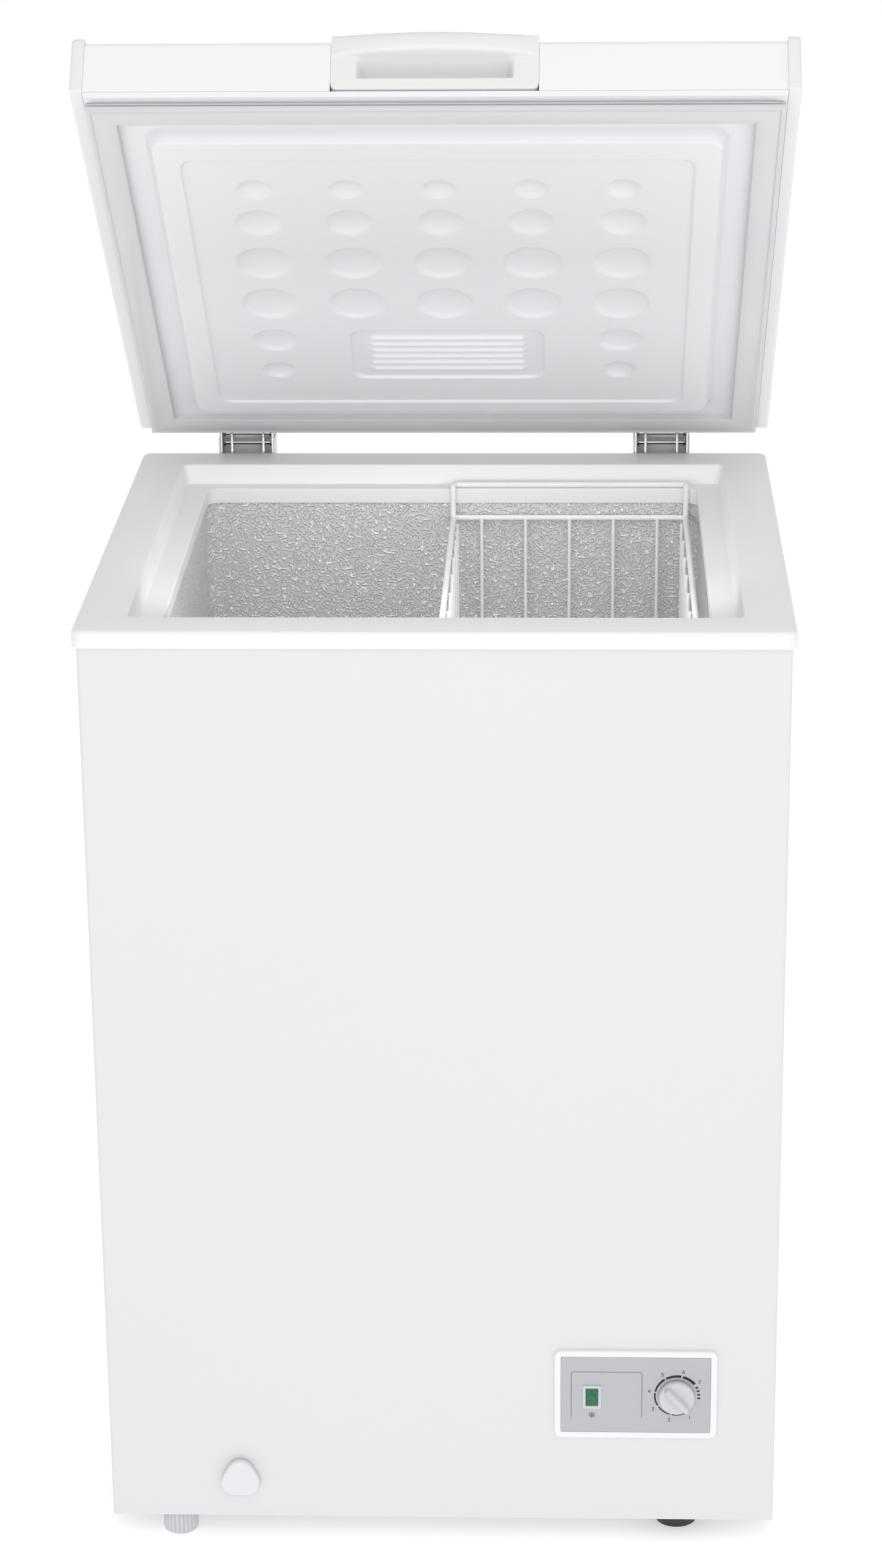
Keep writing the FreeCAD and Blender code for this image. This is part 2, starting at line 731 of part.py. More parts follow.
def drain_knob():
    """A rounded triangle, its point up, with a finger ridge at the point."""
    back = -half_d - 1.9
    points = [Vector(drain_x + drain_knob_size * math.sin(math.radians(a)), back,
                     drain_z + drain_knob_size * math.cos(math.radians(a))) for a in (0, 120, 240)]
    edges = []
    for start, end in zip(points, points[1:] + points[:1]):
        middle = (start + end) * 0.5
        bulge = (middle - Vector(drain_x, back, drain_z)).normalize() * (drain_knob_size * 0.34)
        edges.append(Part.Arc(start, middle + bulge, end).toShape())
    knob = Part.Face(Part.Wire(edges)).extrude(Vector(0, -drain_knob_depth, 0))
    upright = [edge for edge in knob.Edges if edge.BoundBox.YLength > drain_knob_depth - 0.1]
    return knob.makeFillet(drain_knob_size * 0.32, upright)


def tank_drain_plug():
    nose = spout_bore - 0.3
    outline = [(0, -8), (nose, -8), (nose, -sheet), (plug_radius - 2.3, 0.3), (plug_radius + 3, 0.3),
               (plug_radius + 3, 2.5), (4, 4.5), (4, 9), (0, 9)]
    return turned(outline, Vector(drain_x, drain_y, tank_floor))


# ---- Feet ----

def levelling_foot(y):
    outline = [(0, 0), (foot_radius - 1.5, 0), (foot_radius, 1.5), (foot_radius, base_height - 3.2),
               (foot_radius - 2, base_height - 1), (0, base_height - 1)]
    foot = turned(outline, Vector(-foot_x, y, 0))
    for i in range(24):
        angle = math.radians(15 * i)
        spot = Vector(-foot_x + (foot_radius + 0.4) * math.cos(angle), y + (foot_radius + 0.4) * math.sin(angle), 3)
        foot = foot.cut(rod(spot, spot + Vector(0, 0, base_height), 1.0))
    return foot.cut(rod(Vector(-foot_x, y, 6), Vector(-foot_x, y, 40), stud_radius))


def levelling_stud(y):
    return rod(Vector(-foot_x, y, 6), Vector(-foot_x, y, floor_sheet + 20), stud_radius)


def fixed_feet():
    outline = [(0, 0), (fixed_foot_bottom, 0), (fixed_foot_top - 1, base_height - 5),
               (fixed_foot_top, base_height), (0, base_height)]
    return group(turned(outline, Vector(fixed_foot_x, y, 0)) for y in (-fixed_foot_front, foot_back))


# ---- Lid, drawn closed ----

handle_half = handle_width / 2
handle_back = lid_front + handle_depth


def skin_block(inset, z_low):
    outline = side_profile([(lid_front + inset, z_low), (lid_back - inset, z_low),
                            (lid_back - inset, lid_top - inset), (lid_front + inset, lid_top - inset)],
                           -skin_half, skin_half)
    top_edges = [edge for edge in outline.Edges
                 if edge.BoundBox.XLength > skin_half and edge.BoundBox.ZMin > lid_top - inset - 0.01]
    return outline.makeFillet(lid_corner - inset, top_edges)


def handle_notch(gap):
    return box(-handle_half - gap, handle_half + gap, lid_front - 40, handle_back + gap, lid_z - 9, lid_top + 9)


def lid_skin():
    skin = skin_block(0, lid_z + 2.5).cut(skin_block(sheet, lid_z - 2))
    return skin.cut(handle_notch(fit))


def liner_outline():
    return (-skin_half + sheet + fit, skin_half - sheet - fit, lid_front + sheet + fit, lid_back - sheet - fit)


def plateau(extra, z_low, z_high):
    """The liner's raised middle, which hangs into the tank's throat when the lid is shut."""
    return tapered(grow(face_rect, extra), z_low, grow(face_rect, plateau_slope + extra), z_high, 8)


def dimple_places():
    """Rows of round dimples, as (x, y, radius): five across in front, two across beside the louvres."""
    pitch = dimple_pitch * (field_rect[1] - field_rect[0])
    places = []
    for rows, columns in ((dimple_rows, (-2, -1, 0, 1, 2)), (dimple_side_rows, (-2, 2))):
        places += [(column * pitch, field_rect[2] + share * field_length, radius)
                   for share, radius in rows for column in columns]
    return places


def louvre_rect():
    centre = field_rect[2] + louvre_middle * field_length
    return (-louvre_width / 2, louvre_width / 2, centre - louvre_length / 2, centre + louvre_length / 2)


def lid_liner():
    flange = slab(*liner_outline(), lid_z, liner_z, 4)
    solid = flange.fuse(plateau(0, face_z, lid_z + 0.5))
    solid = solid.cut(plateau(-liner_wall, face_z + liner_wall + 1, liner_z + 0.01))
    solid = solid.cut(slab(*field_rect, face_z - 1, face_z + field_depth, 12))
    z = face_z + field_depth
    for x, y, radius in dimple_places():
        solid = solid.cut(rod(Vector(x, y, z - 1), Vector(x, y, z + dimple_depth), radius))
    solid = solid.cut(slab(*louvre_rect(), z - 1, z + louvre_depth, 12))
    middle = (louvre_rect()[2] + louvre_rect()[3]) / 2
    bars = [box(-slat_width / 2, slat_width / 2, y - 3, y + 3, z + 0.2, z + louvre_depth + 0.1)
            for y in [middle + slat_pitch * (i - (slats - 1) / 2) for i in range(slats)]]
    return all_of([solid] + bars)


def lid_foam():
    foam = skin_block(sheet, liner_z).fuse(plateau(-liner_wall, face_z + liner_wall + 1, liner_z + 0.2))
    return foam.cut(handle_notch(fit))


def lid_gasket():
    outer = (-lid_half + gasket_outer_side, lid_half - gasket_outer_side,
             lid_front + gasket_outer_front, lid_back - gasket_outer_back)
    ring = tapered(outer, rim_top + gasket_clear, grow(outer, -1.5), lid_z, 3)
    return ring.cut(tapered(grow(outer, -gasket_width), rim_top + gasket_clear - 0.01,
                            grow(outer, -gasket_width - 1), lid_z + 0.01, 3))


def end_cap(side):
    cap = box(min(side * skin_half, side * lid_half), max(side * skin_half, side * lid_half),
              lid_front - cap_proud, lid_back + cap_proud, lid_z + 2, lid_top + cap_proud)
    cap.translate(Vector(side * 0.05, 0, 0))
    crown = [edge for edge in cap.Edges if edge.BoundBox.XLength > 1 and edge.BoundBox.ZMin > lid_top]
    return cap.makeFillet(lid_corner, crown)


def lid_handle():
    """A plate flush with the lid's front, a bowed lip along its top and a finger pocket under the lip."""
    z0 = lid_z + 4
    z1 = lid_top + cap_proud
    lip_z = z1 - handle_lip
    plate = box(-handle_half, handle_half, lid_front, handle_back, z0, z1)
    left = Vector(-handle_half, lid_front, lip_z)
    right = Vector(handle_half, lid_front, lip_z)
    bow = Part.Arc(left, Vector(0, lid_front - handle_bow, lip_z), right).toShape()
    lip = Part.Face(Part.Wire([bow, Part.LineSegment(right, left).toShape()])).extrude(Vector(0, 0, handle_lip))
    pocket = face_plate(0, lip_z - pocket_height / 2, pocket_width, pocket_height, lid_front - 1,
                        lid_front + pocket_depth, pocket_corner)
    return plate.fuse(lip).removeSplitter().cut(pocket)


# ---- Hinges ----

def cam_radius(opening):
    """Radius of the cam that faces the rod when the lid stands at this angle, in radians."""
    return cam_at_rest + cam_rate * (math.radians(lid_open_angle) - opening)


def cam_ear(x):
    """One ear of the lid bracket: an arm from the lid's back to an edge that winds in round the pin."""
    y0 = lid_back + ear_thickness
    sweep = [math.radians(a) for a in (-8, 15, 38, 61, 84)]
    edge = [Vector(x, pivot.y + cam_radius(a) * math.sin(a), pivot.z - cam_radius(a) * math.cos(a)) for a in sweep]
    curve = Part.BSplineCurve()
    curve.interpolate(edge)
    small = cam_radius(sweep[-1])
    crown = Part.Arc(edge[-1], Vector(x, pivot.y + small * 0.75, pivot.z + small * 0.75),
                     Vector(x, pivot.y, pivot.z + small)).toShape()
    arm = Part.makePolygon([Vector(x, pivot.y, pivot.z + small), Vector(x, y0, lid_top - 12),
                            Vector(x, y0, lid_z + 8), edge[0]])
    outline = Part.Wire([curve.toShape(), crown] + arm.Edges)
    ear = Part.Face(outline).extrude(Vector(ear_thickness, 0, 0))
    return ear.cut(rod(Vector(x - 1, pivot.y, pivot.z), Vector(x + 5, pivot.y, pivot.z), pin_radius + pin_clear))


def hinge_lid_bracket(x):
    plate = box(x - cam_half, x + cam_half, lid_back, lid_back + ear_thickness, lid_z + 8, lid_top - 8)
    return all_of([plate, cam_ear(x - cam_half), cam_ear(x + cam_half - ear_thickness)])


def hinge_lid_screws(x):
    outline = [(0, -14), (2, -14), (2, 0), (4, 0), (4, 1.2), (2.4, 2.6), (0, 2.8)]
    return group(turned(outline, Vector(x + dx, lid_back + ear_thickness, lid_top - 15), Vector(0, 1, 0))
                 for dx in (-8, 8))


def channel_side(y0, y1, x0, x1, top):
    """The outline of a hinge's side plate, with its foot on the cabinet's back."""
    rear = y1
    return side_profile([(y0, seat_z - 12), (rear - 8, seat_z - 12), (rear, seat_z + 4), (rear, top),
                         (half_d + rim_overhang + 1, top), (half_d + rim_overhang + 1, under_rim - 1),
                         (y0, under_rim - 1)], x0, x1)


def hinge_cabinet_bracket(x):
    rear = pivot.y + ear_radius
    pieces = [box(x - channel_half - ear_thickness, x + channel_half + ear_thickness, half_d,
                  half_d + ear_thickness, seat_z - 12, under_rim - 1),
              box(x - channel_half - 1, x + channel_half + 1, half_d, rear - 2 * ear_thickness,
                  seat_z - ear_thickness, seat_z)]
    for x0 in (x - channel_half - ear_thickness, x + channel_half):
        side = channel_side(half_d, rear, x0, x0 + ear_thickness, pivot.z)
        crown = rod(Vector(x0, pivot.y, pivot.z), Vector(x0 + ear_thickness, pivot.y, pivot.z), ear_radius)
        hole = rod(Vector(x0 - 1, pivot.y, pivot.z), Vector(x0 + 5, pivot.y, pivot.z), pin_radius)
        pieces.append(side.fuse(crown).cut(hole))
    return all_of(pieces)


def hinge_cover(x):
    """A white cap over the channel, open towards the cabinet."""
    rear = pivot.y + ear_radius + cover_gap
    top = rod_z - 2
    inner = channel_half + ear_thickness + 0.1
    outer = hinge_half
    block = side_profile([(half_d + 0.2, seat_z - 14), (rear - 8, seat_z - 14), (rear + cover_thickness, seat_z - 4),
                          (rear + cover_thickness, top), (half_d + rim_overhang + 1, top),
                          (half_d + rim_overhang + 1, under_rim - 1), (half_d + 0.2, under_rim - 1)],
                         x - outer, x + outer)
    room = side_profile([(half_d - 1, seat_z - 12.3), (rear - 8.3, seat_z - 12.3), (rear, seat_z - 3.8),
                         (rear, top + 5), (half_d - 1, top + 5)], x - inner, x + inner)
    return block.cut(room)


def hinge_pin(x):
    end = channel_half + ear_thickness
    shank = rod(Vector(x - end, pivot.y, pivot.z), Vector(x + end, pivot.y, pivot.z), pin_radius)
    heads = [rod(Vector(x + s * end, pivot.y, pivot.z), Vector(x + s * (end + 1.2), pivot.y, pivot.z), 5)
             for s in (-1, 1)]
    return all_of([shank] + heads)


def hinge_slider(x):
    """Two plates and a spring seat that ride up and down in the channel."""
    seat = box(x - slider_half - 2, x + slider_half + 2, pivot.y - 8.5, pivot.y + 8.5, rod_z - 36, rod_z - 34)
    plates = []
    for x0 in (x - slider_half - 1, x + slider_half - 1):
        plate = side_profile([(pivot.y - 5, rod_z - 35), (pivot.y + 5, rod_z - 35), (pivot.y + 5, rod_z),
                              (pivot.y + 3, rod_z + 3.4), (pivot.y - 3, rod_z + 3.4), (pivot.y - 5, rod_z)],
                             x0, x0 + 2)
        for z in (rod_z, rod_z - rod_spacing):
            plate = plate.cut(rod(Vector(x0 - 1, pivot.y, z), Vector(x0 + 5, pivot.y, z), rod_radius))
        plates.append(plate)
    return all_of([seat] + plates)


def hinge_rods(x):
    rods = []
    for z in (rod_z, rod_z - rod_spacing):
        left = Vector(x - channel_half + 0.6, pivot.y, z)
        right = Vector(x + channel_half - 0.6, pivot.y, z)
        nut = Vector(1.5, 0, 0)
        rods.append(all_of([rod(left, right, rod_radius), hex_rod(left, left + nut, 5.6),
                            hex_rod(right - nut, right, 5.6)]))
    return group(rods)


def hinge_spring(x):
    """The space that the coiled spring fills, between its seat and the slider."""
    low = Vector(x, pivot.y, seat_z)
    high = Vector(x, pivot.y, rod_z - 36)
    inner = rod(low - Vector(0, 0, 1), high + Vector(0, 0, 1), spring_radius - spring_wire)
    return rod(low, high, spring_radius).cut(inner)


def hinge_screws(x):
    outline = [(0, -14), (2.2, -14), (2.2, 0), (4.4, 0), (4.4, 1.2), (2.6, 2.8), (0, 3)]
    places = [(dx, seat_z + dz) for dx in (-14, 14) for dz in (14, 62)]
    return group(turned(outline, Vector(x + dx, half_d + ear_thickness, z), Vector(0, 1, 0)) for dx, z in places)


# ---- Basket ----

basket_x1 = tank_w - basket_right
basket_x0 = basket_x1 - basket_width
basket_front = skirt_front + basket_end_gap
basket_back = skirt_back - basket_end_gap
bar_z = ledge_z + frame_wire + bar_lift
basket_floor = basket_top - basket_depth


def closed_frame(x0, x1, y0, y1, z):
    """A level ring of thick wire."""
    middle = (x0 + x1) / 2
    points = [Vector(middle, y0, z), Vector(x1, y0, z), Vector(x1, y1, z), Vector(x0, y1, z), Vector(x0, y0, z)]
    first = tube(points[:3] + [Vector(middle, y1, z)], frame_wire, basket_corner)
    second = tube([Vector(middle, y1, z)] + points[3:] + [Vector(middle, y0, z)], frame_wire, basket_corner)
    return first.fuse(second)


def hanging_loop(y, outward):
    """The bar that rests on a ledge, with its two posts down to the ring."""
    x0 = basket_x0 + frame_wire
    x1 = basket_x1 - frame_wire
    over = y + outward * 8
    points = [Vector(x0, y, basket_top), Vector(x0, y, bar_z), Vector(x0, over, bar_z),
              Vector(x1, over, bar_z), Vector(x1, y, bar_z), Vector(x1, y, basket_top)]
    return tube(points, frame_wire, 3.9)


def basket_frame():
    ring = closed_frame(basket_x0 + frame_wire, basket_x1 - frame_wire, basket_front + frame_wire,
                        basket_back - frame_wire, basket_top)
    loops_up = [hanging_loop(basket_front + frame_wire, -1), hanging_loop(basket_back - frame_wire, 1)]
    return all_of([ring] + loops_up)


def wire_inset():
    return 2 * frame_wire + thin_wire + 0.05


def basket_long_wires():
    """Wires that hang from the front of the ring, pass under the load and rise at the back."""
    y0 = basket_front + wire_inset()
    y1 = basket_back - wire_inset()
    pitch = (basket_width - 2 * frame_wire) / (long_wires + 0.3)
    middle = (basket_x0 + basket_x1) / 2
    xs = [middle + pitch * (i - (long_wires - 1) / 2) for i in range(long_wires)]
    return group(tube([Vector(x, y0, basket_top), Vector(x, y0, basket_floor), Vector(x, y1, basket_floor),
                       Vector(x, y1, basket_top)], thin_wire, 12) for x in xs)


def basket_cross_wires():
    """Wires that hang from the ring's left side, pass over the long ones and rise at its right."""
    x0 = basket_x0 + wire_inset()
    x1 = basket_x1 - wire_inset()
    z = basket_floor + 2 * thin_wire + 0.1
    pitch = (basket_back - basket_front) / cross_wires
    ys = [(basket_front + basket_back) / 2 + pitch * (i - (cross_wires - 1) / 2) for i in range(cross_wires)]
    return group(tube([Vector(x0, y, basket_top), Vector(x0, y, z), Vector(x1, y, z), Vector(x1, y, basket_top)],
                      thin_wire, 12) for y in ys)


# ---- Write every piece ----

fixed_pieces = {
    "outer_shell": outer_shell, "back_panel": back_panel, "base_pan": base_pan,
    "compartment_panel": compartment_panel, "compressor_base_plate": compressor_base_plate,
    "top_frame": top_frame, "inner_tank": inner_tank, "tank_foam": tank_foam,
    "evaporator_coil": evaporator_coil, "condenser_coil": condenser_coil,
    "compressor_shell": compressor_shell, "compressor_cradle": compressor_cradle,
    "compressor_grommets": compressor_grommets, "compressor_bolts": compressor_bolts,
    "relay_cover": relay_cover, "compressor_pipes": compressor_pipes, "filter_drier": filter_drier,
    "capillary_tube": capillary_tube,
    "rear_cover": rear_cover, "rear_cover_screws": rear_cover_screws, "inlet_gland": inlet_gland,
    "control_bezel": control_bezel, "control_fascia": control_fascia, "lamp_surround": lamp_surround,
    "lamp_lens": lamp_lens, "lamp_body": lamp_body, "thermostat_body": thermostat_body,
    "thermostat_spindle": thermostat_spindle, "thermostat_knob": thermostat_knob,
    "thermostat_probe": thermostat_probe, "drain_sleeve": drain_sleeve, "drain_hose": drain_hose,
    "drain_spout": drain_spout, "drain_knob": drain_knob, "tank_drain_plug": tank_drain_plug,
    "fixed_feet": fixed_feet, "basket_frame": basket_frame, "basket_long_wires": basket_long_wires,
    "basket_cross_wires": basket_cross_wires,
}
for name, make in fixed_pieces.items():
    write(name, make())

for place, y in (("front", -foot_front), ("rear", foot_back)):
    write("levelling_foot_" + place, levelling_foot(y))
    write("levelling_stud_" + place, levelling_stud(y))
write("foot_bushes", group(foot_bush(y) for y in (-foot_front, foot_back)))

lid_pieces = {"lid_skin": lid_skin, "lid_liner": lid_liner, "lid_foam": lid_foam, "lid_gasket": lid_gasket,
              "lid_handle": lid_handle}
for name, make in lid_pieces.items():
    write(name, opened(make()))
for place, side in (("left", -1), ("right", 1)):
    write("lid_end_cap_" + place, opened(end_cap(side)))

write("hinge_lid_brackets", opened(both_hinges(hinge_lid_bracket)))
write("hinge_lid_screws", opened(both_hinges(hinge_lid_screws)))
hinge_pieces = {"hinge_cabinet_brackets": hinge_cabinet_bracket, "hinge_covers": hinge_cover,
                "hinge_pins": hinge_pin, "hinge_sliders": hinge_slider, "hinge_rods": hinge_rods,
                "hinge_springs": hinge_spring, "hinge_screws": hinge_screws}
for name, make in hinge_pieces.items():
    write(name, both_hinges(make))
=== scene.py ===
import json
import math

import bmesh
import bpy
import numpy as np
from mathutils import Matrix, Vector


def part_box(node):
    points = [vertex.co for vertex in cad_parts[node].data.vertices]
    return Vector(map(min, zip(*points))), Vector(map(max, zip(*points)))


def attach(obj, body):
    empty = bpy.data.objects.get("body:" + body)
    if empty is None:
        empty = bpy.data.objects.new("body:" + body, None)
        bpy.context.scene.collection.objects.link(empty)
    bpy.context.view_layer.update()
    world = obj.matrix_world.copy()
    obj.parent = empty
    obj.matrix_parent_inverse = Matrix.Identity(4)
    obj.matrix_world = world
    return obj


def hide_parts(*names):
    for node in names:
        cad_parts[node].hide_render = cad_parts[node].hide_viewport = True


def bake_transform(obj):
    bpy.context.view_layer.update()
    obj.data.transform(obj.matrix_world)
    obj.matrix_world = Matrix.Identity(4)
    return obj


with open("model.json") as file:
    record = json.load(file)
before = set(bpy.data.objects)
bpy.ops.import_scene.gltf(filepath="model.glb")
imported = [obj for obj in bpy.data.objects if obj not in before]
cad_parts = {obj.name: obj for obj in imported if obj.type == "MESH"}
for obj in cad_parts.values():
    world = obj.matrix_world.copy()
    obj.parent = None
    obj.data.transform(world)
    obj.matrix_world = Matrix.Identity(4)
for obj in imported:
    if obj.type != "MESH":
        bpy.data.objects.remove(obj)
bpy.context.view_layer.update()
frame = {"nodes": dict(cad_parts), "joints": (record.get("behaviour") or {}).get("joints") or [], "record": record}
MM = 0.001

# ---- Room ----
# A pale seamless floor under plain soft light, with one camera in front of the freezer and above
# its lid. The floor is matt card and the lamps are large soft boxes.


def linear(code):
    """A colour written as sRGB hex, as the linear RGBA that shaders use."""
    channels = [int(code[i:i + 2], 16) / 255 for i in (1, 3, 5)]
    return tuple(c / 12.92 if c <= 0.04045 else ((c + 0.055) / 1.055) ** 2.4 for c in channels) + (1.0,)


def add(tree, kind, feeds={}, **settings):
    """One node with its settings, and its inputs linked from other sockets or set to values."""
    node = tree.nodes.new(kind)
    for name, value in settings.items():
        setattr(node, name, value)
    for name, value in feeds.items():
        if isinstance(value, bpy.types.NodeSocket):
            tree.links.new(value, node.inputs[name])
        else:
            node.inputs[name].default_value = value
    return node


def new_finish(name):
    """An empty material, with its node tree, its shader and the place of each point on the piece."""
    finish = bpy.data.materials.new(name)
    finish.use_nodes = True
    tree = finish.node_tree
    tree.nodes.clear()
    shader = add(tree, "ShaderNodeBsdfPrincipled")
    add(tree, "ShaderNodeOutputMaterial", {"Surface": shader.outputs["BSDF"]})
    return finish, tree, shader, add(tree, "ShaderNodeTexCoord").outputs["Object"]


def tinted(tree, shader, share, pale, deep):
    """A base colour that goes from pale to deep with share."""
    tone = add(tree, "ShaderNodeMix", {"Factor": share, "A": linear(pale), "B": linear(deep)},
               data_type="RGBA")
    tree.links.new(tone.outputs["Result"], shader.inputs["Base Color"])


def polished(tree, shader, share, smooth, rough, **span):
    """A roughness that goes from smooth to rough with share."""
    gloss = add(tree, "ShaderNodeMapRange", {"Value": share, "To Min": smooth, "To Max": rough, **span})
    tree.links.new(gloss.outputs["Result"], shader.inputs["Roughness"])


def grained(name, pale, deep, patch, grain, height, rough, metallic=0.0, coat=0.0):
    """A finish that drifts between two near colours in patches, over a fine grain. Sizes are in mm."""
    finish, tree, shader, place = new_finish(name)
    drift = add(tree, "ShaderNodeTexNoise", {"Vector": place, "Scale": 1 / (patch * MM), "Detail": 3.0})
    tinted(tree, shader, drift.outputs["Fac"], pale, deep)
    polished(tree, shader, drift.outputs["Fac"], rough * 0.85, rough * 1.15,
             **{"From Min": 0.3, "From Max": 0.7})
    texture = add(tree, "ShaderNodeTexNoise", {"Vector": place, "Scale": 1 / (grain * MM), "Detail": 2.0})
    relief = add(tree, "ShaderNodeBump", {"Height": texture.outputs["Fac"], "Distance": height * MM,
                                          "Strength": 1.0})
    tree.links.new(relief.outputs["Normal"], shader.inputs["Normal"])
    shader.inputs["Metallic"].default_value = metallic
    shader.inputs["Coat Weight"].default_value = coat
    return finish


def new_object(name, mesh):
    piece = bpy.data.objects.new(name, mesh)
    bpy.context.scene.collection.objects.link(piece)
    return piece


floor_mesh = bpy.data.meshes.new("floor")
reach = 30.0
floor_mesh.from_pydata([(-reach, -reach, 0), (reach, -reach, 0), (reach, reach, 0), (-reach, reach, 0)], [],
                       [(0, 1, 2, 3)])
white_card = grained("matt white card", "#FBFBFB", "#F8F8F8", 900, 2, 0.02, 0.9)
card_shader = next(n for n in white_card.node_tree.nodes if n.type == "BSDF_PRINCIPLED")
card_shader.inputs["Emission Color"].default_value = (1.0, 1.0, 1.0, 1.0)
card_shader.inputs["Emission Strength"].default_value = 0.36
floor_mesh.materials.append(white_card)
floor = new_object("floor", floor_mesh)

camera_data = bpy.data.cameras.new("camera")
camera_data.lens = 86.72
camera_data.sensor_width = 36.0
camera_data.clip_end = 100.0
camera = new_object("camera", camera_data)
pitch, yaw, roll = math.radians(19.92), math.radians(-2.1), math.radians(-0.55)
ahead = Vector((math.sin(yaw) * math.cos(pitch), math.cos(yaw) * math.cos(pitch), -math.sin(pitch)))
level = Vector((math.cos(yaw), -math.sin(yaw), 0))
upward = level.cross(ahead)
across = level * math.cos(roll) + upward * math.sin(roll)
above = upward * math.cos(roll) - level * math.sin(roll)
camera.matrix_world = Matrix((across, above, -ahead)).transposed().to_4x4()
camera.location = (0.1049, -2.9939, 1.6554)
bpy.context.scene.camera = camera

world = bpy.data.worlds.new("studio")
world.use_nodes = True
world.node_tree.nodes["Background"].inputs["Color"].default_value = (1.0, 1.0, 1.0, 1.0)
world.node_tree.nodes["Background"].inputs["Strength"].default_value = 0.66
bpy.context.scene.world = world
bpy.context.scene.view_settings.view_transform = "Standard"

centre = (0, 0, 0.7)
# The two small fill lamps lie in the opening and face away from the camera. One lights the liner and
# the other the tank, and with the lid shut both are hidden inside.
for name, place, aim, width, depth, power in (
        ("overhead", (0.3, -0.4, 4.2), centre, 3.0, 3.0, 14.0),
        ("upper front", (0.3, -3.2, 3.2), centre, 2.6, 2.6, 31.0),
        ("lower front", (-0.3, -3.8, 0.9), centre, 2.4, 2.4, 16.0),
        ("right", (3.4, -1.6, 2.2), centre, 2.2, 2.2, 5.0),
        ("fill below the lid", (0, -0.06, 0.81), (0, 0.14, 1.0), 0.4, 0.12, 0.10),
        ("fill into the tank", (0, -0.16, 0.795), (0, 0.2, 0.515), 0.36, 0.12, 0.36)):
    lamp_data = bpy.data.lights.new(name, "AREA")
    lamp_data.shape = "RECTANGLE"
    lamp_data.size = width
    lamp_data.size_y = depth
    lamp_data.energy = power
    soft_box = new_object(name, lamp_data)
    soft_box.location = place
    soft_box.rotation_euler = (Vector(aim) - Vector(place)).to_track_quat("-Z", "Y").to_euler()

# ---- Cabinet sheets ----
# The wrapper is one steel sheet, painted white on the coil before it was bent round the front and
# sides. The back, base and compartment sheets are bare galvanised steel, slipped inside its edges.


def soften(mesh, sharp_from=32):
    """Smooth shading, broken only at edges that turn more sharply than this many degrees."""
    shape = bmesh.new()
    shape.from_mesh(mesh)
    for face in shape.faces:
        face.smooth = True
    for edge in shape.edges:
        edge.smooth = len(edge.link_faces) == 2 and edge.calc_face_angle(0) < math.radians(sharp_from)
    shape.to_mesh(mesh)
    shape.free()


def body_of(node):
    return next(body for body, names in frame["record"]["behaviour"]["bodies"].items() if node in names)


def dressed(node, finish, ease=0.0, sharp_from=32):
    """A CAD piece made ready to show: facets merged, edges eased by this many mm, and its finish on."""
    shape = bmesh.new()
    shape.from_mesh(frame["nodes"][node].data)
    bmesh.ops.remove_doubles(shape, verts=shape.verts, dist=0.02 * MM)
    if ease:
        bmesh.ops.dissolve_limit(shape, angle_limit=math.radians(0.5), verts=shape.verts, edges=shape.edges)
        corners = [edge for edge in shape.edges
                   if len(edge.link_faces) == 2 and edge.calc_face_angle(0) > math.radians(50)]
        bmesh.ops.bevel(shape, geom=corners, offset=ease * MM, segments=2, profile=0.5, affect="EDGES",
                        clamp_overlap=True)
    mesh = bpy.data.meshes.new(node + "_shown")
    shape.to_mesh(mesh)
    shape.free()
    soften(mesh, sharp_from)
    mesh.materials.append(finish)
    piece = new_object(node + "_shown", mesh)
    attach(piece, body_of(node))
    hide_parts(node)
    return piece


coil_paint = grained("coil-coated steel, white", "#DDDDDD", "#DCDCDC", 260, 1.6, 0.010, 0.36)


def galvanised_sheet():
    """Hot-dip zinc: flat crystals a centimetre across, each with its own grey and its own gloss."""
    finish, tree, shader, place = new_finish("galvanised steel sheet")
    crystal = add(tree, "ShaderNodeTexVoronoi", {"Vector": place, "Scale": 1 / (9 * MM)})
    tinted(tree, shader, crystal.outputs["Color"], "#BDC1C4", "#D2D5D7")
    polished(tree, shader, crystal.outputs["Color"], 0.34, 0.5)
    shader.inputs["Metallic"].default_value = 1.0
    return finish


zinc_sheet = galvanised_sheet()
dressed("outer_shell", coil_paint)
for node in ("back_panel", "base_pan", "compartment_panel", "compressor_base_plate"):
    dressed(node, zinc_sheet)

# ---- Top frame ----
# One injection moulding of white polystyrene that hooks over the wrapper and the tank. It has a
# broad rounded rim, a leaning throat, a ledge that carries the basket and a short skirt.

white_styrene = grained("injection-moulded polystyrene, white", "#ECECED", "#EAEAEB", 180, 0.7, 0.012, 0.34)


def outline(u0, u1, v0, v1, radius, steps=8):
    """Points round a rectangle with round corners, anticlockwise."""
    points = []
    for u, v, heading in ((u1 - radius, v1 - radius, 0), (u0 + radius, v1 - radius, 90),
                          (u0 + radius, v0 + radius, 180), (u1 - radius, v0 + radius, 270)):
        for step in range(steps + 1):
            turn = math.radians(heading + 90 * step / steps)
            points.append((u + radius * math.cos(turn), v + radius * math.sin(turn)))
    return points


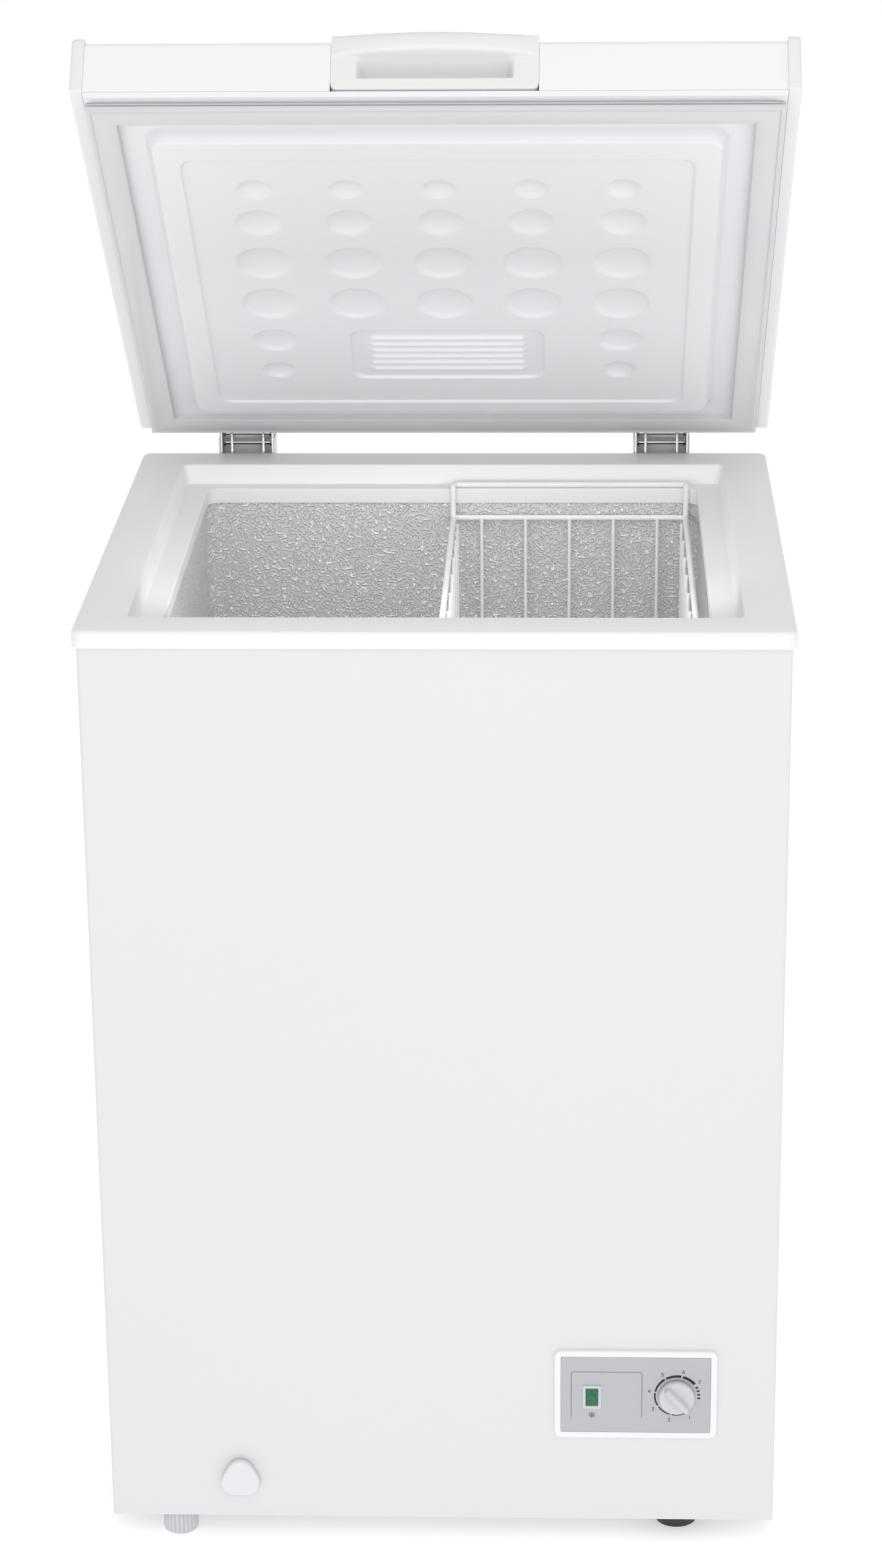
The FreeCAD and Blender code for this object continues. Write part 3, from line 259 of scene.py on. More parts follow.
def loft(name, rings, closed=True, ends=False, sharp_from=32):
    """A skin over rings of points that all have the same count, closed round on itself or capped."""
    shape = bmesh.new()
    rows = [[shape.verts.new(point) for point in ring] for ring in rings]
    pairs = list(zip(rows, rows[1:])) + ([(rows[-1], rows[0])] if closed else [])
    for low, high in pairs:
        for i in range(len(low)):
            j = (i + 1) % len(low)
            shape.faces.new((low[i], low[j], high[j], high[i]))
    if ends:
        shape.faces.new(rows[0][::-1])
        shape.faces.new(rows[-1])
    bmesh.ops.remove_doubles(shape, verts=shape.verts, dist=0.002 * MM)
    bmesh.ops.recalc_face_normals(shape, faces=shape.faces)
    mesh = bpy.data.meshes.new(name)
    shape.to_mesh(mesh)
    shape.free()
    soften(mesh, sharp_from)
    return new_object(name, mesh)


def show(piece, finish, body, slot, *nodes):
    """Puts the finish on a piece, joins it to its body and lets it stand for its CAD nodes."""
    piece.data.materials.clear()
    piece.data.materials.append(finish)
    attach(piece, body)
    if nodes:
        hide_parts(*nodes)
    return piece


def arc(centre_inset, centre_z, radius, first, last, steps=5):
    """(inset, height) points round part of a circle, with headings in degrees from straight up."""
    turns = [math.radians(first + (last - first) * i / steps) for i in range(steps + 1)]
    return [(centre_inset + radius * math.sin(t), centre_z + radius * math.cos(t)) for t in turns]


rim_low, rim_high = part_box("top_frame")
rim_side, rim_front, rim_back = 39.5 * MM, 38.0 * MM, 41.0 * MM      # rim's width on each side
rim_rect = (rim_low.x, rim_high.x, rim_low.y, rim_high.y)
throat_rect = (rim_low.x + rim_side, rim_high.x - rim_side, rim_low.y + rim_front, rim_high.y - rim_back)
tank_low, tank_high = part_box("inner_tank")
skirt_gap = 3.0 * MM                                                  # tank's outer face to skirt
skirt_rect = (tank_low.x + skirt_gap, tank_high.x - skirt_gap,
              tank_low.y + skirt_gap, tank_high.y - skirt_gap)
rim_top = rim_high.z
ledge_z = rim_top - 17 * MM


def shrink(rect, by):
    return (rect[0] + by, rect[1] - by, rect[2] + by, rect[3] - by)


def top_frame_rings():
    edge, lip, wall = 3 * MM, 1.6 * MM, 3 * MM
    rings = []

    def ring(rect, inset, z, radius):
        rings.append([(x, y, z) for x, y in outline(*shrink(rect, inset), max(radius - inset, 0.4 * MM))])

    ring(rim_rect, 0.5 * MM, rim_low.z + 16 * MM, 8 * MM)
    ring(rim_rect, 0, rim_low.z + 16.5 * MM, 8 * MM)
    for inset, z in arc(edge, rim_top - edge, edge, -90, 0):
        ring(rim_rect, inset, z, 8 * MM)
    for inset, z in arc(-lip, rim_top - lip, lip, 0, 90):
        ring(throat_rect, inset, z, 6 * MM)
    ring(throat_rect, 3.2 * MM, ledge_z + 1.4 * MM, 9 * MM)
    ring(throat_rect, 3.6 * MM, ledge_z + 0.4 * MM, 9 * MM)
    ring(throat_rect, 4.6 * MM, ledge_z, 9 * MM)
    for inset, z in arc(-1.2 * MM, ledge_z - 1.2 * MM, 1.2 * MM, 0, 90):
        ring(skirt_rect, inset, z, 12 * MM)
    ring(skirt_rect, 0, rim_low.z + 0.4 * MM, 12 * MM)
    ring(skirt_rect, -0.4 * MM, rim_low.z, 12 * MM)
    ring(skirt_rect, -1.8 * MM, rim_low.z, 12 * MM)
    ring(skirt_rect, -1.8 * MM, ledge_z - wall, 12 * MM)
    ring(throat_rect, -wall, ledge_z - wall, 6 * MM)
    ring(throat_rect, -wall, rim_top - wall, 6 * MM)
    ring(rim_rect, wall, rim_top - wall, 8 * MM)
    ring(rim_rect, wall, rim_low.z + 16 * MM, 8 * MM)
    return rings


show(loft("top_frame_shown", top_frame_rings()), white_styrene, "cabinet", "white_moulding", "top_frame")

# ---- Tank and what is foamed round it ----
# The tank is folded from aluminium sheet whose stucco relief was rolled into it: short winding
# ridges that scatter the light and hide the coils soldered behind it. Foam holds it in the wrapper.


def stucco_aluminium():
    """Bright rolled aluminium with winding ridges 1 to 2 mm wide and several millimetres long, with a painted
    highlight on the ridge tops and painted shade between them.
    """
    finish, tree, shader, place = new_finish("stucco-embossed aluminium")
    winding = add(tree, "ShaderNodeTexNoise", {"Vector": place, "Scale": 1 / (3.6 * MM), "Detail": 0.0})
    middle = add(tree, "ShaderNodeMath", {0: winding.outputs["Fac"], 1: 0.5}, operation="SUBTRACT")
    aside = add(tree, "ShaderNodeMath", {0: middle.outputs[0]}, operation="ABSOLUTE")
    ridge = add(tree, "ShaderNodeMapRange", {"Value": aside.outputs[0], "From Min": 0.0, "From Max": 0.13,
                                             "To Min": 1.0, "To Max": 0.0}, interpolation_type="SMOOTHSTEP")
    gaps = add(tree, "ShaderNodeTexNoise", {"Vector": place, "Scale": 1 / (3 * MM), "Detail": 0.0})
    kept = add(tree, "ShaderNodeMapRange", {"Value": gaps.outputs["Fac"], "From Min": 0.33, "From Max": 0.45},
               interpolation_type="SMOOTHSTEP")
    height = add(tree, "ShaderNodeMath", {0: ridge.outputs["Result"], 1: kept.outputs["Result"]},
                 operation="MULTIPLY")
    relief = add(tree, "ShaderNodeBump", {"Height": height.outputs[0], "Distance": 0.8 * MM, "Strength": 1.0})
    tree.links.new(relief.outputs["Normal"], shader.inputs["Normal"])
    cloudy = add(tree, "ShaderNodeTexNoise", {"Vector": place, "Scale": 1 / (120 * MM), "Detail": 2.0})
    # Painted highlight and shade: the ridge mask tints the ridge tops pale and the hollows between them greyer.
    tinted(tree, shader, height.outputs[0], "#D6D7D9", "#FAFAFB")
    polished(tree, shader, cloudy.outputs["Fac"], 0.4, 0.52)
    shader.inputs["Metallic"].default_value = 0.3
    return finish


dressed("inner_tank", stucco_aluminium())

blown_foam = grained("rigid polyurethane foam", "#E2D3A4", "#D3C08A", 30, 1.2, 0.5, 0.9)
steel_tube = grained("copper-washed steel tube", "#8E8177", "#75695F", 60, 1.0, 0.02, 0.42, metallic=1.0)
copper = grained("drawn copper tube", "#C98B6B", "#A9684A", 45, 0.8, 0.01, 0.3, metallic=1.0)
dressed("tank_foam", blown_foam)
dressed("evaporator_coil", steel_tube)
dressed("condenser_coil", steel_tube)

# ---- Basket ----
# Drawn steel wire, bent and welded, then dipped in white polyethylene. Two thick bars rest on the
# ledges and carry a thick ring, and thin wires cross under it to hold the food.


def new_tree(name, inputs):
    """A geometry tree with a mesh going in, the named sizes, and a mesh coming out."""
    tree = bpy.data.node_groups.new(name, "GeometryNodeTree")
    tree.interface.new_socket("Mesh", in_out="INPUT", socket_type="NodeSocketGeometry")
    for label, kind in inputs:
        tree.interface.new_socket(label, in_out="INPUT", socket_type=kind)
    tree.interface.new_socket("Mesh", in_out="OUTPUT", socket_type="NodeSocketGeometry")
    return tree, add(tree, "NodeGroupInput").outputs


def finish_tree(tree, geometry, finish):
    real = add(tree, "GeometryNodeRealizeInstances", {"Geometry": geometry})
    coated = add(tree, "GeometryNodeSetMaterial", {"Geometry": real.outputs["Geometry"], "Material": finish})
    add(tree, "NodeGroupOutput", {"Mesh": coated.outputs["Geometry"]})


def grown(name, seed_mesh, tree, sizes):
    """The plain mesh that a geometry tree makes from a seed mesh and its sizes."""
    piece = new_object(name, seed_mesh)
    modifier = piece.modifiers.new(tree.name, "NODES")
    modifier.node_group = tree
    for item in tree.interface.items_tree:
        if item.in_out == "INPUT" and item.name in sizes:
            modifier[item.identifier] = sizes[item.name]
    result = bpy.data.meshes.new_from_object(piece.evaluated_get(bpy.context.evaluated_depsgraph_get()))
    piece.modifiers.clear()
    piece.data = result
    return piece


def bent_wire(finish):
    """Round wire along every path of a mesh, with an arc at each bend."""
    tree, given = new_tree("bent wire", (("Radius", "NodeSocketFloat"), ("Bend", "NodeSocketFloat"),
                                         ("Sides", "NodeSocketInt")))
    path = add(tree, "GeometryNodeMeshToCurve", {"Mesh": given["Mesh"]})
    bends = add(tree, "GeometryNodeFilletCurve", {"Curve": path.outputs["Curve"], "Radius": given["Bend"],
                                                  "Count": 8}, mode="POLY")
    section = add(tree, "GeometryNodeCurvePrimitiveCircle", {"Radius": given["Radius"],
                                                             "Resolution": given["Sides"]})
    wire = add(tree, "GeometryNodeCurveToMesh", {"Curve": bends.outputs["Curve"],
                                                 "Profile Curve": section.outputs["Curve"],
                                                 "Fill Caps": True})
    finish_tree(tree, wire.outputs["Mesh"], finish)
    return tree


def paths_mesh(name, paths, closed=False):
    mesh = bpy.data.meshes.new(name)
    points, edges = [], []
    for path in paths:
        first = len(points)
        points += path
        edges += [(i, i + 1) for i in range(first, len(points) - 1)]
        if closed:
            edges.append((len(points) - 1, first))
    mesh.from_pydata(points, edges, [])
    return mesh


def wire_piece(name, paths, radius, bend, finish, sides=14, closed=False):
    tree = bent_wire(finish)
    piece = grown(name, paths_mesh(name, paths, closed), tree,
                  {"Radius": radius * MM, "Bend": bend * MM, "Sides": sides})
    soften(piece.data, 50)
    return piece


dipped_wire = grained("polyethylene-dipped steel wire, white", "#F6F6F5", "#EFEFEE", 40, 1.5, 0.05, 0.36)
ring_low, ring_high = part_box("basket_frame")
long_low, long_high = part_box("basket_long_wires")
cross_low, cross_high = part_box("basket_cross_wires")
thick, thin = 2.5 * MM, 1.5 * MM
ring_z = ring_low.z + thick
bar_z = ring_high.z - thick
bar_reach = 8 * MM                                  # bar to post, along the ledge
left, right = ring_low.x + thick, ring_high.x - thick
near, far = ring_low.y + thick + bar_reach, ring_high.y - thick - bar_reach
ring_path = [(left, near, ring_z), (right, near, ring_z), (right, far, ring_z), (left, far, ring_z)]
bars = [[(left, y, ring_z), (left, y, bar_z), (left, over, bar_z), (right, over, bar_z), (right, y, bar_z),
         (right, y, ring_z)] for y, over in ((near, near - bar_reach), (far, far + bar_reach))]
show(wire_piece("basket_ring", [ring_path], 2.5, 6.0, dipped_wire, closed=True), dipped_wire, "basket",
     "coated_wire", "basket_frame")
show(wire_piece("basket_bars", bars, 2.5, 3.9, dipped_wire), dipped_wire, "basket", "coated_wire")

long_count, cross_count = 5, 8
low_z = long_low.z + thin
long_paths = []
for i in range(long_count):
    x = long_low.x + thin + (long_high.x - long_low.x - 2 * thin) * i / (long_count - 1)
    y0, y1 = long_low.y + thin, long_high.y - thin
    long_paths.append([(x, y0, ring_z), (x, y0, low_z), (x, y1, low_z), (x, y1, ring_z)])
show(wire_piece("basket_long", long_paths, 1.5, 12.0, dipped_wire, 10), dipped_wire, "basket", "coated_wire",
     "basket_long_wires")
cross_paths = []
for i in range(cross_count):
    y = cross_low.y + thin + (cross_high.y - cross_low.y - 2 * thin) * i / (cross_count - 1)
    x0, x1, z = cross_low.x + thin, cross_high.x - thin, cross_low.z + thin
    cross_paths.append([(x0, y, ring_z), (x0, y, z), (x1, y, z), (x1, y, ring_z)])
show(wire_piece("basket_cross", cross_paths, 1.5, 12.0, dipped_wire, 10), dipped_wire, "basket",
     "coated_wire", "basket_cross_wires")

# ---- Lid skin and foam ----
# The lid's top is one folded sheet of white steel with rounded front and back edges, cut away for
# the handle, with foam between it and the liner. Lid pieces are built shut and then swung open.

hinge = next(joint for joint in frame["joints"] if joint["name"] == "lid_hinge")
pivot = Vector(hinge["pos_m"])
opening = math.radians(hinge["range_deg"][0])
swing = Matrix.Translation(pivot) @ Matrix.Rotation(opening, 4, "X") @ Matrix.Translation(-pivot)


def raised(piece):
    """Swings a piece that was built with the lid shut to the angle at which the lid stands."""
    piece.data.transform(swing)
    return piece


def shut_box(node):
    """The box round a lid piece with the lid shut."""
    unswing = swing.inverted()
    places = np.array([unswing @ v.co for v in frame["nodes"][node].data.vertices])
    return Vector(places.min(0)), Vector(places.max(0))


lid_paint = grained("coil-coated steel, lid white", "#EEEEEE", "#ECECEC", 260, 1.6, 0.018, 0.36)
dressed("lid_skin", lid_paint)
lid_foam = dressed("lid_foam", blown_foam)
# The foam is drawn 5 percent thinner than it is, so that it stays behind the liner's deepest dimples.
foam_top = Matrix.Translation((0, 0, shut_box("lid_foam")[1].z))
thinner = foam_top @ Matrix.Diagonal((1, 1, 0.95, 1)) @ foam_top.inverted()
lid_foam.data.transform(swing @ thinner @ swing.inverted())

# ---- Lid end caps ----
# Moulded white plastic strips that close the ends of the folded lid sheet. They stand slightly
# proud of it all round, with a generous radius where they turn over the top.

cap_plastic = grained("injection-moulded ABS, white", "#E6E6E6", "#E3E3E2", 120, 0.6, 0.010, 0.38)


def end_cap(name, outer_side):
    low, high = shut_box(name)
    ease, crown, foot = 2.2 * MM, 7 * MM, 1.5 * MM
    outer, inner = (high.x, low.x) if outer_side > 0 else (low.x, high.x)
    rings = []
    side = []
    for y, z, radius, heading in ((high.y, high.z, crown, 0), (low.y, high.z, crown, 90),
                                  (low.y, low.z, foot, 180), (high.y, low.z, foot, 270)):
        for step in range(9):
            turn = math.radians(heading + 90 * step / 8)
            side.append((y, z, radius, turn))
    span = outer - inner
    stations = [(inner, 0.0)] + [(outer - math.copysign(ease - ease * math.cos(math.radians(t)), span),
                                  ease - ease * math.cos(math.radians(90 - t))) for t in (90, 67, 45, 22, 0)]
    for x, inset in stations:
        ring = []
        for y, z, radius, turn in side:
            cy = y - math.copysign(radius, y - (low.y + high.y) / 2)
            cz = z - math.copysign(radius, z - (low.z + high.z) / 2)
            reach_out = max(radius - inset, 0.0)
            extra = inset - radius if inset > radius else 0.0
            cy -= math.copysign(extra, y - (low.y + high.y) / 2)
            cz -= math.copysign(extra, z - (low.z + high.z) / 2)
            ring.append((x, cy + reach_out * math.cos(turn), cz + reach_out * math.sin(turn)))
        rings.append(ring)
    return raised(loft(name + "_moulding", rings, closed=False, ends=True))


for name, outer_side in (("lid_end_cap_left", -1), ("lid_end_cap_right", 1)):
    show(end_cap(name, outer_side), cap_plastic, "lid", "white_moulding", name)

# ---- Lid liner ----
# Vacuum-formed white polystyrene. Its middle stands down into the tank's throat, and a shallow
# recessed field in it carries rows of pressed dimples and a louvre panel that stiffen the sheet.

liner_sheet = grained("vacuum-formed polystyrene, white", "#E8E8EB", "#E6E6E9", 150, 0.9, 0.014, 0.42)


def steps_along(first, last, marks, fine, coarse, open_from, open_to, plain):
    """Grid lines that crowd where the shape turns and run wide where it is plain."""
    lines = [first]
    while lines[-1] < last - plain * 0.5:
        here = lines[-1]
        if any(mark - 3.2 * MM < here + fine and here < mark + 3.0 * MM for mark in marks):
            pace = fine
        elif here < open_from - 3 * MM:
            pace = min(plain, max(open_from - 3 * MM - here, fine))
        elif here > open_to + 3 * MM:
            pace = plain
        else:
            pace = coarse
        lines.append(here + pace)
    lines[-1] = last
    return np.array(lines)


def eased(value):
    value = np.clip(value, 0.0, 1.0)
    return value * value * (3 - 2 * value)


def outside(x, y, rect, radius):
    """How far each point lies outside a rectangle with round corners, negative inside it."""
    dx = np.abs(x - (rect[0] + rect[1]) / 2) - (rect[1] - rect[0]) / 2 + radius
    dy = np.abs(y - (rect[2] + rect[3]) / 2) - (rect[3] - rect[2]) / 2 + radius
    return np.hypot(np.maximum(dx, 0), np.maximum(dy, 0)) + np.minimum(np.maximum(dx, dy), 0) - radius


liner_low, liner_high = shut_box("lid_liner")
flange_z = liner_high.z - 2 * MM
drop = flange_z - liner_low.z
face = (throat_rect[0] + 17.5 * MM, throat_rect[1] - 17.5 * MM, throat_rect[2] + 11 * MM,
        throat_rect[3] - 14.5 * MM)
field = (face[0] + 20 * MM, face[1] - 20 * MM, face[2] + 24 * MM, face[3] - 17 * MM)
field_width, field_length = field[1] - field[0], field[3] - field[2]
slope_run = 6 * MM
tuck = 1.1 * MM                                     # liner's rim, turned up behind the lid's skin
dimples = []
for share, radius, columns in ((0.116, 12.5, (-2, -1, 0, 1, 2)), (0.244, 17.5, (-2, -1, 0, 1, 2)),
                               (0.405, 22.5, (-2, -1, 0, 1, 2)), (0.573, 22.5, (-2, -1, 0, 1, 2)),
                               (0.730, 17.5, (-2, 2)), (0.861, 12.5, (-2, 2))):
    dimples += [(column * 0.182 * field_width, field[2] + share * field_length, radius * MM)
                for column in columns]
louvre_y = field[2] + 0.794 * field_length
louvre = (-81 * MM, 81 * MM, louvre_y - 39.5 * MM, louvre_y + 39.5 * MM)
slat_rows = [louvre_y + (i - 2.5) * 10 * MM for i in range(6)]


def liner_height(x, y):
    """Height of the liner's shown side with the lid shut."""
    away = outside(x, y, face, 9 * MM) / slope_run
    ramp = 0.7 * np.clip(1 - away, 0, 1) + 0.3 * eased(1 - away)
    z = flange_z - drop * ramp
    edge = outside(x, y, (liner_low.x, liner_high.x, liner_low.y, liner_high.y), 2 * MM)
    z -= 2.0 * MM * eased((edge + 4.6 * MM) / (1.2 * MM))
    z += 2.0 * MM * eased((0.9 * MM - outside(x, y, field, 12 * MM)) / (1.8 * MM))
    for cx, cy, radius in dimples:
        r = np.hypot(x - cx, y - cy)
        z += 1.4 * MM * eased((radius - r) / (1.5 * MM)) + 2.8 * MM * np.clip(1 - (r / radius) ** 2, 0, 1)
    z += 2.2 * MM * eased((0.9 * MM - outside(x, y, louvre, 12 * MM)) / (1.8 * MM))
    for cy in slat_rows:
        bar = (-65 * MM, 65 * MM, cy - 2.9 * MM, cy + 2.9 * MM)
        z -= 2.4 * MM * eased((0.8 * MM - outside(x, y, bar, 2.8 * MM)) / (2.6 * MM))
    return z


def liner_mesh():
    rim, fine, coarse, plain = 4 * MM, 0.8 * MM, 2.2 * MM, 7 * MM
    x_turns = [liner_low.x + rim, face[0] - slope_run, face[0], field[0], louvre[0], louvre[1], field[1],
               face[1], face[1] + slope_run, liner_high.x - rim]
    y_turns = [liner_low.y + rim, face[2] - slope_run, face[2], field[2], louvre[2], louvre[3], field[3],
               face[3], face[3] + slope_run, liner_high.y - rim]
    xs = steps_along(liner_low.x, liner_high.x, x_turns, fine, coarse, face[0] - slope_run,
                     face[1] + slope_run, plain)
    ys = steps_along(liner_low.y, liner_high.y, y_turns + slat_rows, fine, coarse, face[2] - slope_run,
                     face[3] + slope_run, plain)
    gx, gy = np.meshgrid(xs, ys)
    points = np.stack([gx, gy, liner_height(gx, gy)], axis=-1).reshape(-1, 3)
    wide = len(xs)
    corner = np.arange(len(ys) - 1)[:, None] * wide + np.arange(wide - 1)[None, :]
    quads = np.stack([corner, corner + wide, corner + wide + 1, corner + 1], axis=-1).reshape(-1, 4)
    mesh = bpy.data.meshes.new("lid_liner_shown")
    mesh.from_pydata(points.tolist(), [], quads.tolist())
    shape = bmesh.new()
    shape.from_mesh(mesh)
    border = [edge for edge in shape.edges if len(edge.link_faces) == 1]
    turned_up = bmesh.ops.extrude_edge_only(shape, edges=border)
    for vert in (v for v in turned_up["geom"] if isinstance(v, bmesh.types.BMVert)):
        at_side = abs(vert.co.x) > liner_high.x - 0.01 * MM
        at_end = not liner_low.y + 0.01 * MM < vert.co.y < liner_high.y - 0.01 * MM
        vert.co.x += math.copysign(tuck, vert.co.x) if at_side else 0.0
        vert.co.y += math.copysign(tuck, vert.co.y) if at_end else 0.0
        vert.co.z = liner_high.z + 0.3 * MM
    shape.to_mesh(mesh)
    shape.free()
    soften(mesh, 50)
    return mesh


show(raised(new_object("lid_liner_shown", liner_mesh())), liner_sheet, "lid", "liner_plastic", "lid_liner")

# ---- Lid gasket ----
# Extruded soft vinyl, cut into four lengths and welded at mitred corners, with a magnetless flat
# face that lands on the top frame and folded bellows along its outer side.

vinyl = grained("extruded soft vinyl, pale grey", "#D4D4D7", "#D0D0D3", 90, 1.2, 0.02, 0.5)
seal_low, seal_high = shut_box("lid_gasket")
seal_rect = (seal_low.x, seal_high.x, seal_low.y, seal_high.y)
seal_z = seal_low.z


def gasket_rings():
    """The seal's section as (inset, rise) in mm: outer bellows, land, inner lip. Its corners are mitred."""
    height = (flange_z - seal_z) / MM - 0.05
    profile = [(1.5, height), (1.5, 6.2), (0.0, 5.6), (0.0, 4.8), (1.8, 4.3), (1.8, 3.9), (0.0, 3.4),
               (0.0, 0.9), (0.3, 0.25), (0.9, 0.0), (3.2, 0.0), (3.6, 0.5), (4.4, 0.5), (4.8, 0.0),
               (20.6, 0.0), (21.4, 0.3), (22.0, 1.2), (21.0, 4.0), (21.6, height)]
    rings = []
    for inset, rise in profile:
        x0, x1, y0, y1 = shrink(seal_rect, inset * MM)
        z = seal_z + rise * MM
        rings.append([(x1, y1, z), (x0, y1, z), (x0, y0, z), (x1, y0, z)])
    return rings


show(raised(loft("lid_gasket_shown", gasket_rings(), sharp_from=60)), vinyl, "lid", "gasket_vinyl",
     "lid_gasket")

# ---- Handle ----
# One white moulding let into the lid's front. Its plate lies flush with the sheet, its lip bows
# forward along the top, and under the lip the wall curves back into a pocket for the fingers.

grip_low, grip_high = shut_box("lid_handle")
plate_y = shut_box("lid_skin")[0].y


def handle_mesh():
    half = grip_high.x
    pocket_half, bow = 59 * MM, plate_y - grip_low.y
    base, lip, crown = grip_low.z, grip_high.z - 18.5 * MM, grip_high.z
    pocket_z = lip - 19 * MM
    edge_from, ramp_from, ramp_to = half - 6 * MM, 66 * MM, 50 * MM
    stations = ((-half, -edge_from, 9), (-edge_from, -ramp_from, 6), (-ramp_from, -ramp_to, 22),
                (-ramp_to, ramp_to, 41), (ramp_to, ramp_from, 22), (ramp_from, edge_from, 6),
                (edge_from, half, 9))
    columns = [x for first, last, count in stations for x in np.linspace(first, last, count)[:-1]] + [half]
    plate = [(0.0, 1.4), (0.08, 0.4), (0.2, 0.05), (0.35, 0.0), (0.6, 0.0), (0.85, 0.0), (0.97, 0.0)]
    pocket = [(0.0, 0.25), (0.015, 1.2), (0.03, 3.5), (0.05, 8.0), (0.075, 12.5), (0.12, 15.6), (0.19, 17.2),
              (0.30, 17.6), (0.44, 16.6), (0.58, 14.4), (0.71, 11.2), (0.82, 7.8), (0.91, 4.2), (0.97, 1.4)]
    lip_shape = [(0.0, 0.12), (0.01, 0.45), (0.04, 0.8), (0.10, 0.96), (0.2, 1.0), (0.4, 1.0), (0.6, 0.97),
                 (0.76, 0.9), (0.88, 0.76), (0.96, 0.5), (1.0, 0.15)]
    rings = []
    for x in columns:
        depth = float(eased((pocket_half + 1.5 * MM - abs(x)) / (7 * MM)))
        proud = bow * max(1 - (x / (half * 1.02)) ** 2, 0.0) ** 0.85 * 0.93 + 0.5 * MM
        turn_in = max(abs(x) - (half - 5 * MM), 0.0)
        foot = base + 5 * MM - math.sqrt(max((5 * MM) ** 2 - turn_in ** 2, 0.0))
        ring = [(x, grip_high.y, foot)]
        ring += [(x, plate_y + d * MM, foot + share * (pocket_z - foot)) for share, d in plate]
        ring += [(x, plate_y + depth * d * MM, pocket_z + share * (lip - pocket_z)) for share, d in pocket]
        ring += [(x, plate_y - proud * f, lip + share * (crown - lip)) for share, f in lip_shape]
        ring += [(x, plate_y + 2 * MM, crown), (x, grip_high.y, crown)]
        rings.append(ring)
    return raised(loft("lid_handle_shown", rings, closed=False, ends=True, sharp_from=50))


show(handle_mesh(), cap_plastic, "lid", "white_moulding", "lid_handle")

# ---- Hinges ----
# Each hinge is a channel folded from galvanised steel, with a cam on the lid bracket that presses
# a rod against a sprung slider, so that the lid stays where it is left. A white cap covers the back.


def plated_steel(name, pale, deep, rough):
    """Bright zinc plate: a cool metal whose gloss varies in fine streaks where it was drawn."""
    finish, tree, shader, place = new_finish(name)
    stretch = add(tree, "ShaderNodeMapping", {"Vector": place, "Scale": (60.0, 900.0, 900.0)})
    streak = add(tree, "ShaderNodeTexNoise", {"Vector": stretch.outputs["Vector"], "Scale": 1.0,
                                              "Detail": 3.0})
    tinted(tree, shader, streak.outputs["Fac"], pale, deep)
    polished(tree, shader, streak.outputs["Fac"], rough * 0.7, rough * 1.3)
    shader.inputs["Metallic"].default_value = 1.0
    return finish


zinc_plate = plated_steel("zinc-plated steel", "#D2D4D6", "#A9ACB0", 0.26)
spring_wire = plated_steel("patented spring wire, oiled", "#7A7D82", "#55585C", 0.3)
hinge_white = grained("polypropylene, white", "#F2F2F2", "#EDEDED", 80, 0.7, 0.015, 0.45)
dressed("hinge_cabinet_brackets", zinc_sheet, ease=0.3)
dressed("hinge_lid_brackets", zinc_plate, ease=0.3)
dressed("hinge_sliders", zinc_plate, ease=0.3)
dressed("hinge_rods", zinc_plate)
dressed("hinge_pins", zinc_plate)
dressed("hinge_covers", hinge_white, ease=0.5)


def coil_springs():
    """The two pressed springs as wound wire, closed at both ends."""
    low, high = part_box("hinge_springs")
    wire, turns, sides = 1.1 * MM, 11, 240
    radius = (high.y - low.y) / 2 - wire
    paths = []
    for x in (low.x + radius + wire, high.x - radius - wire):
        path = []
        for i in range(sides + 1):
            share = i / sides
            along = min(max((share - 0.06) / 0.88, 0.0), 1.0)
            climb = 0.35 * float(eased(along)) + 0.65 * along
            turn = 2 * math.pi * turns * share
            path.append((x + radius * math.cos(turn), (low.y + high.y) / 2 + radius * math.sin(turn),
                         low.z + wire + (high.z - low.z - 2 * wire) * climb))
        paths.append(path)
    return wire_piece("hinge_springs_wound", paths, 1.1, 0.0, spring_wire, 10)


springs = coil_springs()
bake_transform(springs)
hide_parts("hinge_springs")


